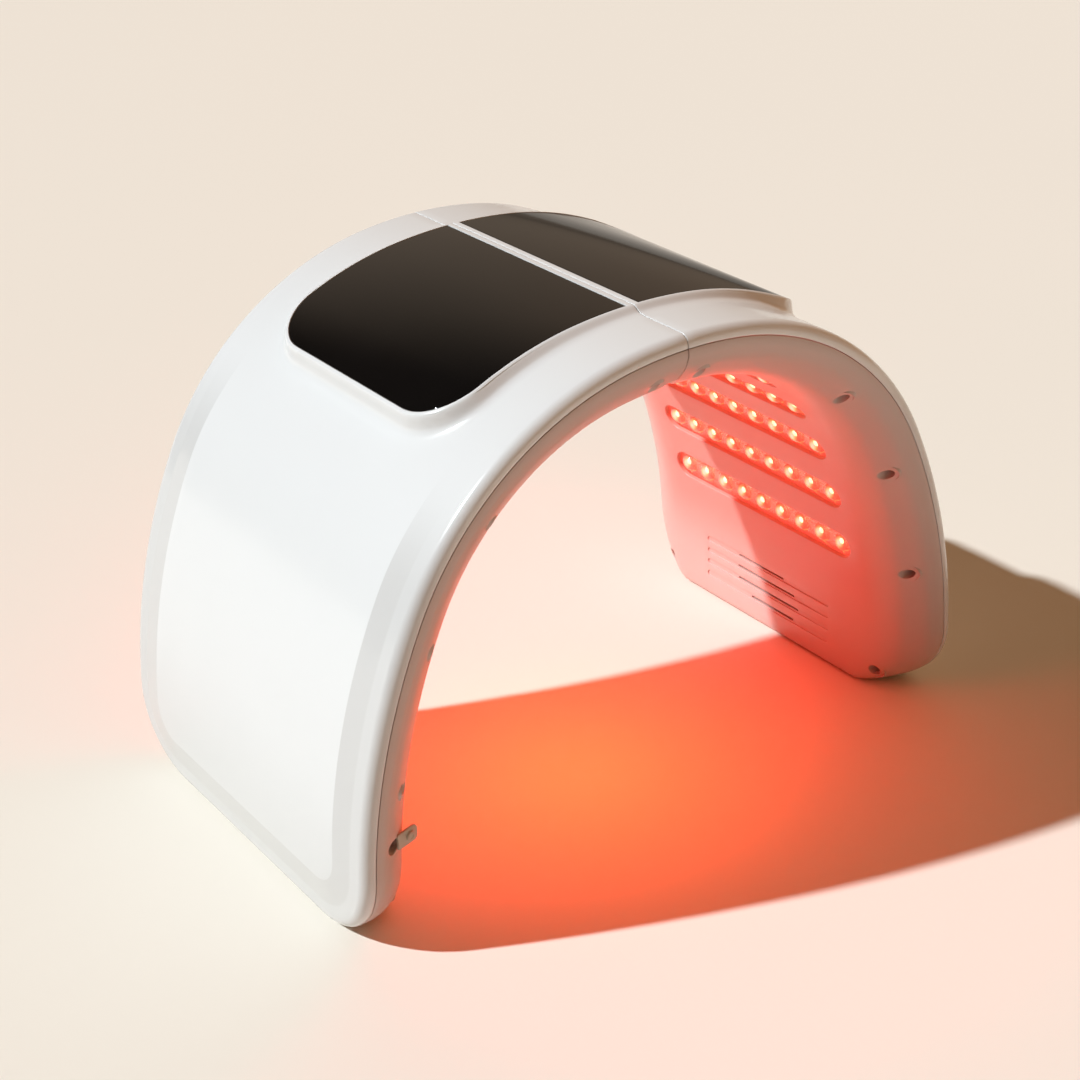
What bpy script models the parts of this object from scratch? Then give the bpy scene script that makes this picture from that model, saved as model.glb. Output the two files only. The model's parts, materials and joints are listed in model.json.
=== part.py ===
"""Folding arch for LED light care: two curved halves hinged at the crown, standing on their feet.

Metres, +Z up. X runs across the arch, the front is at -Y, and the origin is on the floor at the
centre. Most places on a half are given in flat form: s, the length along the outer skin from the
seam at the crown down to the foot; y, the place across the depth; h, the height above the skin.
"""

import math

import bmesh
import bpy
from mathutils import Matrix, Vector

# ---- driving dimensions -------------------------------------------------------------------------
# Outer skin: radius and sweep of each tangent arc, from the seam down to the foot.
ARCS = ((0.208, math.radians(8.0)), (0.152, math.radians(56.0)), (0.312, math.radians(29.8)))
DEPTH = 0.213
THICKNESS = 0.0314
CORNER = 0.040
SEAM_HALF_GAP = 0.0002
GAP = 0.0003
OVERRUN = 0.0010
PARTING = 0.0060
EDGE_ROUND = 0.0050
SHELL_WALL = 0.0024
COVER_WALL = 0.0022
LEVELLED = 0.040

# Raised hump on the outer skin, and the dark panel let into it.
HUMP_HALF_WIDTH = 0.0765
HUMP_END = 0.1140
HUMP_CORNER = 0.032
HUMP_SETBACK = 0.00015
HUMP_SEAM_RISE = 0.0030
HUMP_END_RISE = 0.0085
PANEL_HALF_WIDTH = 0.0687
PANEL_START = 0.0033
PANEL_END = 0.1055
PANEL_CORNER = 0.025
PANEL_THICKNESS = 0.0020
# Rings of the hump: inset from its foot, share of its height.
HUMP_RINGS = ((0.0, 0.04), (0.0030, 0.22), (0.0052, 0.70), (0.0070, 1.0))

# Sloped band round the lower field of the outer skin.
BAND_OUTER = 0.0115
BAND_INNER = 0.0240
FIELD_RISE = 0.0012
SEAM_RIM = 0.0020
FIELD_FADE = (0.115, 0.170)

# Light rows: one slot in the cover and one lens strip for each.
ROW_COUNT = 7
ROW_FIRST = 0.041
ROW_PITCH = 0.0355
LIGHTS_PER_ROW = 9
LIGHT_PITCH = 0.0150
DOME_RADIUS = 0.0054
DOME_HEIGHT = 0.0030
SLOT_HALF_LENGTH = 0.0680
SLOT_HALF_WIDTH = 0.0085
LENS_MARGIN = 0.0025
LENS_PLATE = 0.0015
# Rings of a dome: share of its radius, height from the back of the plate.
DOME_RINGS = ((1.0, 0.4 * LENS_PLATE), (0.85, -0.5 * DOME_HEIGHT), (0.45, -DOME_HEIGHT))
DOME_SIDES = 6
BOARD_HALF_WIDTH = 0.0730
BOARD_MARGIN = 0.0130
BOARD_CORNER = 0.0040
BOARD_HEIGHT = -0.0262
BOARD_THICKNESS = 0.0010

# Vents: distance of each slot from the foot along the skin, its half length and its middle in y.
VENTS = (
    (0.0380, 0.0179, 0.0047),
    (0.0300, 0.0227, 0.0010),
    (0.0222, 0.0240, -0.0010),
    (0.0145, 0.0167, -0.0047),
)
VENT_HALF_WIDTH = 0.0010

# Heights between which a cutter passes through the cover's inner wall.
WALL_CUT = (-1.2 * THICKNESS, -0.85 * THICKNESS)

# Case screws in flat form (s, y); each has a twin at -y.
SCREWS = ((0.014, 0.0985), (0.1245, 0.0985), (0.192, 0.0985), (0.2605, 0.0985), (0.3285, 0.0815))
HEAD_RADIUS = 0.0025
HEAD_HEIGHT = 0.0020
SHANK_RADIUS = 0.0010
SHANK_CLEARANCE = 0.0004
COUNTERBORE_RADIUS = 0.0029
CUP_RADIUS = 0.0044
CUP_TOP = -0.0102
CUP_FLOOR = 0.0017
BOSS_RADIUS = 0.0036
BOSS_END = -0.0098
PILOT_RADIUS = 0.00125
PILOT_FLOOR = -0.0048
SCREW_TIP = -0.0055
BOSS_SIDES = 8
CUP_SIDES = 10

# Fold hinge: the axis runs along Y under the seam, with one hinge near the front and one at the rear.
AXIS_DEPTH = 0.0235
GROOVE_TOP = -0.0225
GROOVE_HALF_WIDTH = 0.0066
HINGE_Y = 0.060
KNUCKLE_RADIUS = 0.0034
KNUCKLE_LENGTH = 0.0092
KNUCKLE_COUNT = 3
KNUCKLE_SIDES = 16
PIN_RADIUS = 0.00150
PIN_BORE = 0.00158
PIN_OVERHANG = 0.0008
LEAF_START = 0.0043
LEAF_REACH = 0.0260
LEAF_THICKNESS = 0.0014
WEB_REACH = 0.0054
WEB_SINK = 0.00005
WINDOW_REACH = 0.0062
WINDOW_RISE = 0.0070
WINDOW_CLEARANCE = 0.0016

# Power inlet in the front edge of the left half, and its rubber flap.
JACK_S = 0.2864
JACK_HEIGHT = -0.0165
JACK_HOLE_RADIUS = 0.0036
JACK_RECESS = 0.0095
JACK_BODY_START = 0.0150
JACK_BODY_LENGTH = 0.0120
JACK_BODY_HALF_SIZE = (0.0045, 0.0055)
JACK_SOCKET_DEPTH = 0.0110
JACK_NOSE_RADIUS = 0.0032
JACK_BORE_RADIUS = 0.0025
JACK_PIN_RADIUS = 0.0007
JACK_PIN_SETBACK = 0.0015
FLAP_LENGTH = 0.0100
FLAP_WIDTH = 0.0078
FLAP_THICKNESS = 0.0014
FLAP_ROUND = 0.0005
FLAP_HEEL = 0.0006
FLAP_ASIDE = 0.0048
FLAP_SETBACK = 0.0049
FLAP_OPEN_TURN = math.radians(15.0)
PLUG_REACH = 0.0051
NUB_RADIUS = 0.0024
NUB_HEIGHT = 0.0012

# Electronics: boards in the left half, and one wire bundle in each half.
CONTROL_BOARD_AT = (0.2500, 0.0450, -0.0130)
CONTROL_BOARD_SIZE = Vector((0.0600, 0.0400, 0.0016))
TOUCH_BOARD_START = 0.0160
TOUCH_BOARD_END = 0.0950
TOUCH_BOARD_HALF_WIDTH = 0.0500
TOUCH_BOARD_CORNER = 0.0060
TOUCH_BOARD_HEIGHT = -0.0039
WIRE_RADIUS = 0.0013
WIRE_START = 0.0120
WIRE_Y = 0.0300
WIRE_HEIGHT = -0.0205
WIRE_POINTS = 14

ARCH_LENGTH = sum(radius * sweep for radius, sweep in ARCS)
STATION_COUNT = 14
CORNER_STEPS = 4
STATION_STEP = (ARCH_LENGTH - CORNER) / STATION_COUNT
HALF_TURN = Matrix.Rotation(math.pi, 4, "Z")
ALONG_Y = Matrix.Rotation(-math.pi / 2, 4, "X")


# ---- the arch as a surface ----------------------------------------------------------------------
def smooth(t):
    """Eases from 0 to 1 as t runs from 0 to 1."""
    t = min(max(t, 0.0), 1.0)
    return t * t * (3.0 - 2.0 * t)


def arch_frame(s):
    """Distance out, drop and slope of the outer skin at length s from the seam."""
    out, drop, slope = 0.0, 0.0, 0.0
    for radius, sweep in ARCS:
        turn = min(s / radius, sweep)
        out += radius * (math.sin(slope + turn) - math.sin(slope))
        drop += radius * (math.cos(slope) - math.cos(slope + turn))
        slope += turn
        s -= radius * turn
    return out, drop, slope


CROWN = arch_frame(ARCH_LENGTH)[1]


def on_arch(s, y, h):
    """The point in space, on the right half, of a place in flat form. The foot is levelled to z = 0."""
    out, drop, slope = arch_frame(s)
    level = smooth((s - ARCH_LENGTH + LEVELLED) / LEVELLED)
    lift = h * math.cos(slope) * (1.0 - level)
    return Vector((out + h * math.sin(slope), y, CROWN - drop + lift))


def seat(s, y, h):
    """A frame on the arch: local X points down the side, local Y to the rear, local Z out of the skin."""
    slope = arch_frame(s)[2]
    return Matrix.Translation(on_arch(s, y, h)) @ Matrix.Rotation(slope, 4, "Y")


def u_outline(half_width, end, corner_s, corner_y, start):
    """Flat outline (s, y) of a patch that is square at the seam and rounded at its far corners."""
    centre_s = end - corner_s
    centre_y = half_width - corner_y
    stations = [i * STATION_STEP for i in range(1, STATION_COUNT + 1)]
    inner = [s for s in stations if start + STATION_STEP / 2 < s < centre_s - STATION_STEP / 4]
    front = [(s, -half_width) for s in [start] + inner + [centre_s]]
    for i in range(1, CORNER_STEPS + 1):
        angle = math.pi / 2 * i / CORNER_STEPS
        front.append((centre_s + corner_s * math.sin(angle), -centre_y - corner_y * math.cos(angle)))
    return front + [(s, -y) for s, y in reversed(front)]


def half_outline(side, foot, seam):
    """Outline of a half, moved in from its front and rear edges, its foot and its seam."""
    return u_outline(DEPTH / 2 - side, ARCH_LENGTH - foot, CORNER - foot, CORNER - side, seam)


def patch_outline(half_width, end, corner, start, inset=0.0):
    """Outline of a patch with round corners, moved in by inset on its three outer edges."""
    return u_outline(half_width - inset, end - inset, corner - inset, corner - inset, start)


def loft(name, rings, flip=False, capped=False):
    """A skin through rings of points, closed by strips across the last ring, and the first if capped."""
    mesh = bpy.data.meshes.new(name)
    shape = bmesh.new()
    rows = [[shape.verts.new(point) for point in ring] for ring in rings]
    count = len(rows[0])
    for lower, upper in zip(rows, rows[1:]):
        for i in range(count):
            j = (i + 1) % count
            shape.faces.new((lower[i], lower[j], upper[j], upper[i]))
    ends = [rows[-1]] + ([rows[0][::-1]] if capped else [])
    for ring in ends:
        for i in range(count // 2 - 1):
            shape.faces.new((ring[i], ring[i + 1], ring[count - 2 - i], ring[count - 1 - i]))
    if flip:
        bmesh.ops.reverse_faces(shape, faces=shape.faces)
    shape.to_mesh(mesh)
    shape.free()
    return mesh


def field_height(s, rise):
    """Height of the lower field at s: it fades to the skin's own height towards the hump."""
    return rise * smooth((s - FIELD_FADE[0]) / (FIELD_FADE[1] - FIELD_FADE[0]))


def hump_top(s):
    """Height of the hump's top over the skin: it grows away from the seam."""
    return HUMP_SEAM_RISE + (HUMP_END_RISE - HUMP_SEAM_RISE) * (s / HUMP_END) ** 2


# Rings of the cover from its parting edge to its flat field: inset at the front and rear edges,
# inset at the foot, inset at the seam, height.
COVER_RINGS = (
    (0.0000, 0.0000, 0.0, -PARTING - GAP),
    (0.0000, 0.0000, 0.0, -0.0100),
    (0.0024, 0.0000, 0.0, -0.0160),
    (0.0076, 0.0000, 0.0, GROOVE_TOP),
    (0.0120, 0.0003, 0.49 * GROOVE_HALF_WIDTH, -0.0265),
    (0.0178, 0.0010, 0.80 * GROOVE_HALF_WIDTH, -0.0292),
    (0.0305, 0.0040, GROOVE_HALF_WIDTH, -THICKNESS),
)


def cover_height(s, y):
    """Height of the cover's outer face at a place in flat form near the edge."""
    past = max(s - ARCH_LENGTH + CORNER, 0.0)
    beside = max(abs(y) - DEPTH / 2 + CORNER, 0.0)
    last_reach, last_height = 0.0, COVER_RINGS[0][3]
    for side, foot, _, height in COVER_RINGS:
        reach = math.hypot(past / (CORNER - foot), beside / (CORNER - side))
        if reach >= 1.0:
            share = (1.0 - last_reach) / (reach - last_reach)
            return last_height + (height - last_height) * share
        last_reach, last_height = reach, height
    return -THICKNESS


# ---- small solids -------------------------------------------------------------------------------
def prism(name, outline, low, high):
    """A solid with the given (x, y) outline, from low to high along local Z."""
    mesh = bpy.data.meshes.new(name)
    shape = bmesh.new()
    bottom = [shape.verts.new((x, y, low)) for x, y in outline]
    top = [shape.verts.new((x, y, high)) for x, y in outline]
    count = len(outline)
    for i in range(count):
        shape.faces.new((bottom[i], bottom[(i + 1) % count], top[(i + 1) % count], top[i]))
    shape.faces.new(bottom[::-1])
    shape.faces.new(top)
    shape.to_mesh(mesh)
    shape.free()
    return mesh


def pill_outline(half_x, half_y, steps=5):
    """A slot outline with half-round ends at +Y and -Y."""
    arc = [math.pi * i / steps for i in range(steps + 1)]
    rear = [(half_x * math.cos(a), half_y - half_x + half_x * math.sin(a)) for a in arc]
    return rear + [(-x, -y) for x, y in rear]


def screw_places():
    """Flat-form places of a half's case screws, each with its twin."""
    return [(s, side * y) for s, y in SCREWS for side in (-1, 1)]


def add_cylinder(shape, radius, low, high, sides, place=Matrix.Identity(4)):
    """Adds a cylinder along local Z to a bmesh."""
    lift = Matrix.Translation((0, 0, (low + high) / 2))
    bmesh.ops.create_cone(
        shape,
        cap_ends=True,
        segments=sides,
        radius1=radius,
        radius2=radius,
        depth=high - low,
        matrix=place @ lift,
    )


def add_box(shape, low, high, place=Matrix.Identity(4)):
    """Adds a box between two corners to a bmesh."""
    size = Vector(high) - Vector(low)
    middle = (Vector(high) + Vector(low)) / 2
    matrix = place @ Matrix.Translation(middle) @ Matrix.Diagonal((*size, 1.0))
    bmesh.ops.create_cube(shape, size=1.0, matrix=matrix)


def mesh_of(name, shape):
    mesh = bpy.data.meshes.new(name)
    shape.to_mesh(mesh)
    shape.free()
    return mesh


# ---- scene bookkeeping --------------------------------------------------------------------------
def clear_scene():
    for obj in list(bpy.data.objects):
        bpy.data.objects.remove(obj, do_unlink=True)


def collection(name):
    group = bpy.data.collections.new(name)
    bpy.context.scene.collection.children.link(group)
    return group


def material(name, colour, roughness, metallic=0.0):
    made = bpy.data.materials.new(name)
    made.use_nodes = True
    shader = made.node_tree.nodes["Principled BSDF"]
    shader.inputs["Base Color"].default_value = (*colour, 1.0)
    shader.inputs["Roughness"].default_value = roughness
    shader.inputs["Metallic"].default_value = metallic
    made.diffuse_color = (*colour, 1.0)
    return made


def add_part(name, mesh, finish, matrix=Matrix.Identity(4)):
    """Adds a part of the arch from a mesh. Copies of a part share their mesh."""
    obj = bpy.data.objects.new(name, mesh)
    obj.matrix_world = matrix
    if not mesh.materials:
        mesh.materials.append(finish)
    mesh.shade_smooth()
    mesh.set_sharp_from_angle(angle=math.radians(25))
    PARTS.objects.link(obj)
    return obj


def add_cutter(name, mesh, matrix=Matrix.Identity(4)):
    obj = bpy.data.objects.new(name, mesh)
    obj.matrix_world = matrix
    obj.hide_render = True
    obj.display_type = "WIRE"
    CUTTERS.objects.link(obj)
    return obj


def thicken(obj, wall):
    """Gives an open skin its wall, behind the skin."""
    solid = obj.modifiers.new("wall", "SOLIDIFY")
    solid.thickness = wall
    solid.offset = -1.0
    solid.use_even_offset = True
    solid.use_quality_normals = True


def combine(obj, other, operation):
    step = obj.modifiers.new(operation.lower(), "BOOLEAN")
    step.operation = operation
    step.solver = "EXACT"
    step.object = other


# ---- outer shell and dark panel -----------------------------------------------------------------
def shell_skin():
    """Outer skin of a half: rounded edge, flat rim, sloped band and raised lower field."""
    rings = []
    turns = [math.pi / 2 * step / 3 for step in range(4)]
    edge = [(EDGE_ROUND * (1.0 - math.cos(a)), EDGE_ROUND * (math.sin(a) - 1.0)) for a in turns]
    for inset, height in [(0.0, -PARTING)] + edge:
        outline = half_outline(inset, inset, SEAM_HALF_GAP)
        rings.append([on_arch(s, y, height) for s, y in outline])
    rim = half_outline(BAND_OUTER, BAND_OUTER, SEAM_HALF_GAP + SEAM_RIM)
    rings.append([on_arch(s, y, 0.0) for s, y in rim])
    field = half_outline(BAND_INNER, BAND_INNER, SEAM_HALF_GAP + 2 * SEAM_RIM)
    rings.append([on_arch(s, y, field_height(s, FIELD_RISE)) for s, y in field])
    return loft("outer_shell", rings)


def hump_solid():
    """The raised hump: a plinth with a sloped foot, sunk into the shell's wall at its base."""
    start = SEAM_HALF_GAP + HUMP_SETBACK
    base = patch_outline(HUMP_HALF_WIDTH, HUMP_END, HUMP_CORNER, start)
    rings = [[on_arch(s, y, -SHELL_WALL / 2) for s, y in base]]
    for inset, share in HUMP_RINGS:
        outline = patch_outline(HUMP_HALF_WIDTH, HUMP_END, HUMP_CORNER, start, inset)
        rings.append([on_arch(s, y, share * hump_top(s)) for s, y in outline])
    return loft("hump", rings, capped=True)


def panel_rings(grow, top):
    """Rings of the dark panel, or of its pocket when grown by a gap. Heights are from the hump's top."""
    edges = (PANEL_HALF_WIDTH + grow, PANEL_END + grow, PANEL_CORNER + grow, PANEL_START - grow)
    floor = -PANEL_THICKNESS - grow
    return [[on_arch(s, y, hump_top(s) + h) for s, y in patch_outline(*edges)] for h in (floor, top)]


def boss_mesh():
    """Screw bosses inside the shell, each run into the shell's wall."""
    shape = bmesh.new()
    for s, y in screw_places():
        add_cylinder(shape, BOSS_RADIUS, BOSS_END, -SHELL_WALL / 2, BOSS_SIDES, seat(s, y, 0.0))
    return mesh_of("bosses", shape)


def pilot_mesh():
    shape = bmesh.new()
    for s, y in screw_places():
        add_cylinder(shape, PILOT_RADIUS, BOSS_END - OVERRUN, PILOT_FLOOR, BOSS_SIDES, seat(s, y, 0.0))
    return mesh_of("pilots", shape)


def build_shells():
    skin = shell_skin()
    steps = (
        ("hump", hump_solid(), "UNION"),
        ("bosses", boss_mesh(), "UNION"),
        ("pilots", pilot_mesh(), "DIFFERENCE"),
        ("panel_pocket", loft("panel_pocket", panel_rings(GAP, OVERRUN), capped=True), "DIFFERENCE"),
    )
    panel = loft("panel", panel_rings(0.0, 0.0), capped=True)
    for side, turn in SIDES:
        shell = add_part(f"{side}_outer_shell", skin, GLOSS_WHITE, turn)
        thicken(shell, SHELL_WALL)
        for name, mesh, operation in steps:
            combine(shell, add_cutter(f"{side}_{name}_tool", mesh, turn), operation)
    add_part("left_control_panel", panel, DARK_GLOSS, HALF_TURN)
    add_part("right_trim_panel", panel, DARK_GLOSS)


# ---- inner cover --------------------------------------------------------------------------------
def cover_skin():
    rings = []
    for side, foot, seam, height in COVER_RINGS:
        outline = half_outline(side, foot, SEAM_HALF_GAP + seam)
        rings.append([on_arch(s, y, height) for s, y in outline])
    return loft("inner_cover", rings, flip=True)


def cup_mesh():
    """Screw cups behind the cover's sloped flank. Each ends inside the wall, whatever its slope."""
    shape = bmesh.new()
    for s, y in screw_places():
        place = seat(s, y, 0.0)
        ends = ([], [])
        for i in range(CUP_SIDES):
            angle = 2 * math.pi * i / CUP_SIDES
            across, along = CUP_RADIUS * math.cos(angle), CUP_RADIUS * math.sin(angle)
            wall = cover_height(s + across, y + along) + COVER_WALL * 0.6
            low = min(wall, CUP_TOP - CUP_FLOOR - OVERRUN)
            ends[0].append(shape.verts.new(place @ Vector((across, along, low))))
            ends[1].append(shape.verts.new(place @ Vector((across, along, CUP_TOP))))
        for i in range(CUP_SIDES):
            j = (i + 1) % CUP_SIDES
            shape.faces.new((ends[0][i], ends[0][j], ends[1][j], ends[1][i]))
        shape.faces.new(ends[0][::-1])
        shape.faces.new(ends[1])
    return mesh_of("cups", shape)


def cover_cut_mesh():
    """Everything cut out of a cover: light slots, vents, screw heads' holes and windows for the hinges."""
    shape = bmesh.new()
    for s, y in screw_places():
        add_cylinder(shape, COUNTERBORE_RADIUS, WALL_CUT[0], CUP_TOP - CUP_FLOOR, CUP_SIDES, seat(s, y, 0.0))
    for row in range(ROW_COUNT):
        tool = prism("slot", pill_outline(SLOT_HALF_WIDTH, SLOT_HALF_LENGTH), *WALL_CUT)
        tool.transform(seat(row_place(row), 0.0, 0.0))
        shape.from_mesh(tool)
    for from_foot, half_length, middle in VENTS:
        place = seat(ARCH_LENGTH - from_foot, middle, 0.0)
        low = (-VENT_HALF_WIDTH, -half_length, WALL_CUT[0])
        add_box(shape, low, (VENT_HALF_WIDTH, half_length, WALL_CUT[1]), place)
    window = KNUCKLE_LENGTH * KNUCKLE_COUNT / 2 + WINDOW_CLEARANCE
    for side in (-1, 1):
        low = (-WINDOW_REACH, side * HINGE_Y - window, CROWN - 1.1 * THICKNESS)
        add_box(shape, low, (WINDOW_REACH, side * HINGE_Y + window, CROWN - AXIS_DEPTH + WINDOW_RISE))
    return mesh_of("cover_cuts", shape)


def shank_hole_mesh():
    """The screws' holes through the floors of their cups."""
    shape = bmesh.new()
    radius = SHANK_RADIUS + SHANK_CLEARANCE
    for s, y in screw_places():
        bottom = CUP_TOP - CUP_FLOOR - OVERRUN
        add_cylinder(shape, radius, bottom, CUP_TOP + OVERRUN, BOSS_SIDES, seat(s, y, 0.0))
    return mesh_of("shank_holes", shape)


def build_covers():
    skin = cover_skin()
    cups = cup_mesh()
    cuts = cover_cut_mesh()
    holes = shank_hole_mesh()
    for side, turn in SIDES:
        cover = add_part(f"{side}_inner_cover", skin, SATIN_WHITE, turn)
        thicken(cover, COVER_WALL)
        combine(cover, add_cutter(f"{side}_cups_tool", cups, turn), "UNION")
        combine(cover, add_cutter(f"{side}_cuts_tool", cuts, turn), "DIFFERENCE")
        combine(cover, add_cutter(f"{side}_shank_holes_tool", holes, turn), "DIFFERENCE")
        if side == "left":
            combine(cover, add_cutter("jack_hole_tool", jack_hole_mesh()), "DIFFERENCE")


# ---- lights -------------------------------------------------------------------------------------
def row_place(row):
    return ROW_FIRST + ROW_PITCH * row


def dome_mesh():
    """The domes of one strip: shallow caps, sunk a little into the plate."""
    shape = bmesh.new()
    for light in range(LIGHTS_PER_ROW):
        y = (light - (LIGHTS_PER_ROW - 1) / 2) * LIGHT_PITCH
        rings = []
        for share, height in DOME_RINGS:
            ring = []
            for i in range(DOME_SIDES):
                angle = 2 * math.pi * (i + 0.5) / DOME_SIDES
                reach = DOME_RADIUS * share
                ring.append(shape.verts.new((reach * math.cos(angle), y + reach * math.sin(angle), height)))
            rings.append(ring)
        for upper, lower in zip(rings, rings[1:]):
            for i in range(DOME_SIDES):
                j = (i + 1) % DOME_SIDES
                shape.faces.new((upper[j], upper[i], lower[i], lower[j]))
        shape.faces.new(rings[0])
        shape.faces.new(rings[-1][::-1])
    return mesh_of("domes", shape)


def build_lights():
    plate_outline = pill_outline(SLOT_HALF_WIDTH + LENS_MARGIN, SLOT_HALF_LENGTH + LENS_MARGIN)
    plate = prism("lens_strip", plate_outline, 0.0, LENS_PLATE)
    domes = dome_mesh()
    height = COVER_WALL + GAP - THICKNESS
    board_end = row_place(ROW_COUNT - 1) + BOARD_MARGIN
    outline = patch_outline(BOARD_HALF_WIDTH, board_end, BOARD_CORNER, row_place(0) - BOARD_MARGIN)
    layers = (BOARD_HEIGHT, BOARD_HEIGHT + BOARD_THICKNESS)
    board = loft("light_board", [[on_arch(s, y, h) for s, y in outline] for h in layers], capped=True)
    for side, turn in SIDES:
        for row in range(ROW_COUNT):
            place = turn @ seat(row_place(row), 0.0, height)
            strip = add_part(f"{side}_lens_strip_{row + 1}", plate, CLEAR, place)
            combine(strip, add_cutter(f"{side}_domes_{row + 1}_tool", domes, place), "UNION")
        add_part(f"{side}_light_board", board, BOARD_WHITE, turn)


# ---- fold hinges --------------------------------------------------------------------------------
def leaf_plate_mesh():
    """Flat plate of a hinge leaf, reaching to +X from the knuckles."""
    shape = bmesh.new()
    half = KNUCKLE_LENGTH * KNUCKLE_COUNT / 2
    low = (LEAF_START, -half, KNUCKLE_RADIUS - LEAF_THICKNESS)
    add_box(shape, low, (LEAF_REACH, half, KNUCKLE_RADIUS))
    return mesh_of("leaf_plate", shape)


def knuckle_span(index):
    """The lowest and highest Y of a knuckle, counted from the rear."""
    middle = ((KNUCKLE_COUNT - 1) / 2 - index) * KNUCKLE_LENGTH
    half = KNUCKLE_LENGTH / 2 - GAP / 2
    return middle - half, middle + half


def knuckle_mesh(knuckles):
    """Knuckles of one leaf as cylinders along Y."""
    shape = bmesh.new()
    for index in knuckles:
        add_cylinder(shape, KNUCKLE_RADIUS, *knuckle_span(index), KNUCKLE_SIDES, ALONG_Y)
    return mesh_of("knuckles", shape)


def web_mesh(knuckles):
    """Webs that tie each knuckle to the leaf's plate."""
    shape = bmesh.new()
    for index in knuckles:
        rear, front = knuckle_span(index)
        low = (0.0, rear, KNUCKLE_RADIUS - LEAF_THICKNESS - WEB_SINK)
        add_box(shape, low, (WEB_REACH, front, KNUCKLE_RADIUS - WEB_SINK))
    return mesh_of("webs", shape)


def rod_mesh(name, radius, overhang):
    """A rod on the hinge's axis, past the outer knuckles by overhang: the pin, or its bore's cutter."""
    shape = bmesh.new()
    half = KNUCKLE_LENGTH * KNUCKLE_COUNT / 2 + overhang
    add_cylinder(shape, radius, -half, half, KNUCKLE_SIDES, ALONG_Y)
    return mesh_of(name, shape)


def build_hinges():
    """Two hinges, each with an outer pair of knuckles on the left leaf and a middle one on the right."""
    plate = leaf_plate_mesh()
    bore = rod_mesh("bore", PIN_BORE, PIN_OVERHANG + OVERRUN)
    pin = rod_mesh("hinge_pin", PIN_RADIUS, PIN_OVERHANG)
    kinds = {"left": (0, KNUCKLE_COUNT - 1), "right": (1,)}
    knuckles = {side: knuckle_mesh(which) for side, which in kinds.items()}
    webs = {side: web_mesh(which) for side, which in kinds.items()}
    for end, y in (("front", -HINGE_Y), ("rear", HINGE_Y)):
        axis = Matrix.Translation((0, y, CROWN - AXIS_DEPTH))
        for side, turn in SIDES:
            place = axis @ turn
            leaf = add_part(f"{end}_hinge_{side}_leaf", plate, STEEL, place)
            combine(leaf, add_cutter(f"{end}_{side}_knuckles_tool", knuckles[side], place), "UNION")
            combine(leaf, add_cutter(f"{end}_{side}_webs_tool", webs[side], place), "UNION")
            combine(leaf, add_cutter(f"{end}_{side}_bore_tool", bore, place), "DIFFERENCE")
        add_part(f"{end}_hinge_pin", pin, STEEL, axis)


# ---- screws -------------------------------------------------------------------------------------
def build_screws():
    """Each half's screws: numbers 1 to 5 run down its front edge and 6 to 10 down its rear edge."""
    shape = bmesh.new()
    seat_height = CUP_TOP - CUP_FLOOR - GAP
    add_cylinder(shape, HEAD_RADIUS, seat_height - HEAD_HEIGHT, seat_height, CUP_SIDES)
    head = mesh_of("case_screw", shape)
    shape = bmesh.new()
    add_cylinder(shape, SHANK_RADIUS, seat_height - HEAD_HEIGHT / 2, SCREW_TIP, BOSS_SIDES)
    shank = mesh_of("shank", shape)
    for side, turn in SIDES:
        places = [turn @ seat(s, y, 0.0) for s, y in screw_places()]
        places.sort(key=lambda place: place[1][3] > 0)
        for number, place in enumerate(places, start=1):
            screw = add_part(f"{side}_case_screw_{number:02d}", head, STEEL, place)
            combine(screw, add_cutter(f"{side}_shank_{number:02d}_tool", shank, place), "UNION")


# ---- power inlet and flap -----------------------------------------------------------------------
def jack_frame():
    """Frame of the inlet: the origin on the front face plane, local Z pointing out to the front."""
    point = HALF_TURN @ on_arch(JACK_S, 0.0, JACK_HEIGHT)
    point.y = -DEPTH / 2
    return Matrix.Translation(point) @ Matrix.Rotation(math.pi / 2, 4, "X")


def jack_hole_mesh():
    shape = bmesh.new()
    add_cylinder(shape, JACK_HOLE_RADIUS, GAP - JACK_BODY_START, JACK_RECESS, 16, jack_frame())
    return mesh_of("jack_hole", shape)


def build_jack():
    frame = jack_frame()
    shape = bmesh.new()
    half_x, half_y = JACK_BODY_HALF_SIZE
    back = -JACK_BODY_START - JACK_BODY_LENGTH
    add_box(shape, (-half_x, -half_y, back), (half_x, half_y, -JACK_BODY_START))
    body = add_part("power_jack", mesh_of("power_jack", shape), BLACK, frame)
    floor = -JACK_RECESS - JACK_SOCKET_DEPTH
    tools = (
        ("nose", JACK_NOSE_RADIUS, -JACK_BODY_START - OVERRUN, -JACK_RECESS, "UNION"),
        ("socket", JACK_BORE_RADIUS, floor, 0.0, "DIFFERENCE"),
        ("contact", JACK_PIN_RADIUS, floor - OVERRUN, -JACK_RECESS - JACK_PIN_SETBACK, "UNION"),
    )
    for name, radius, low, high, operation in tools:
        shape = bmesh.new()
        add_cylinder(shape, radius, low, high, 12)
        combine(body, add_cutter(f"jack_{name}_tool", mesh_of(name, shape), frame), operation)


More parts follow.
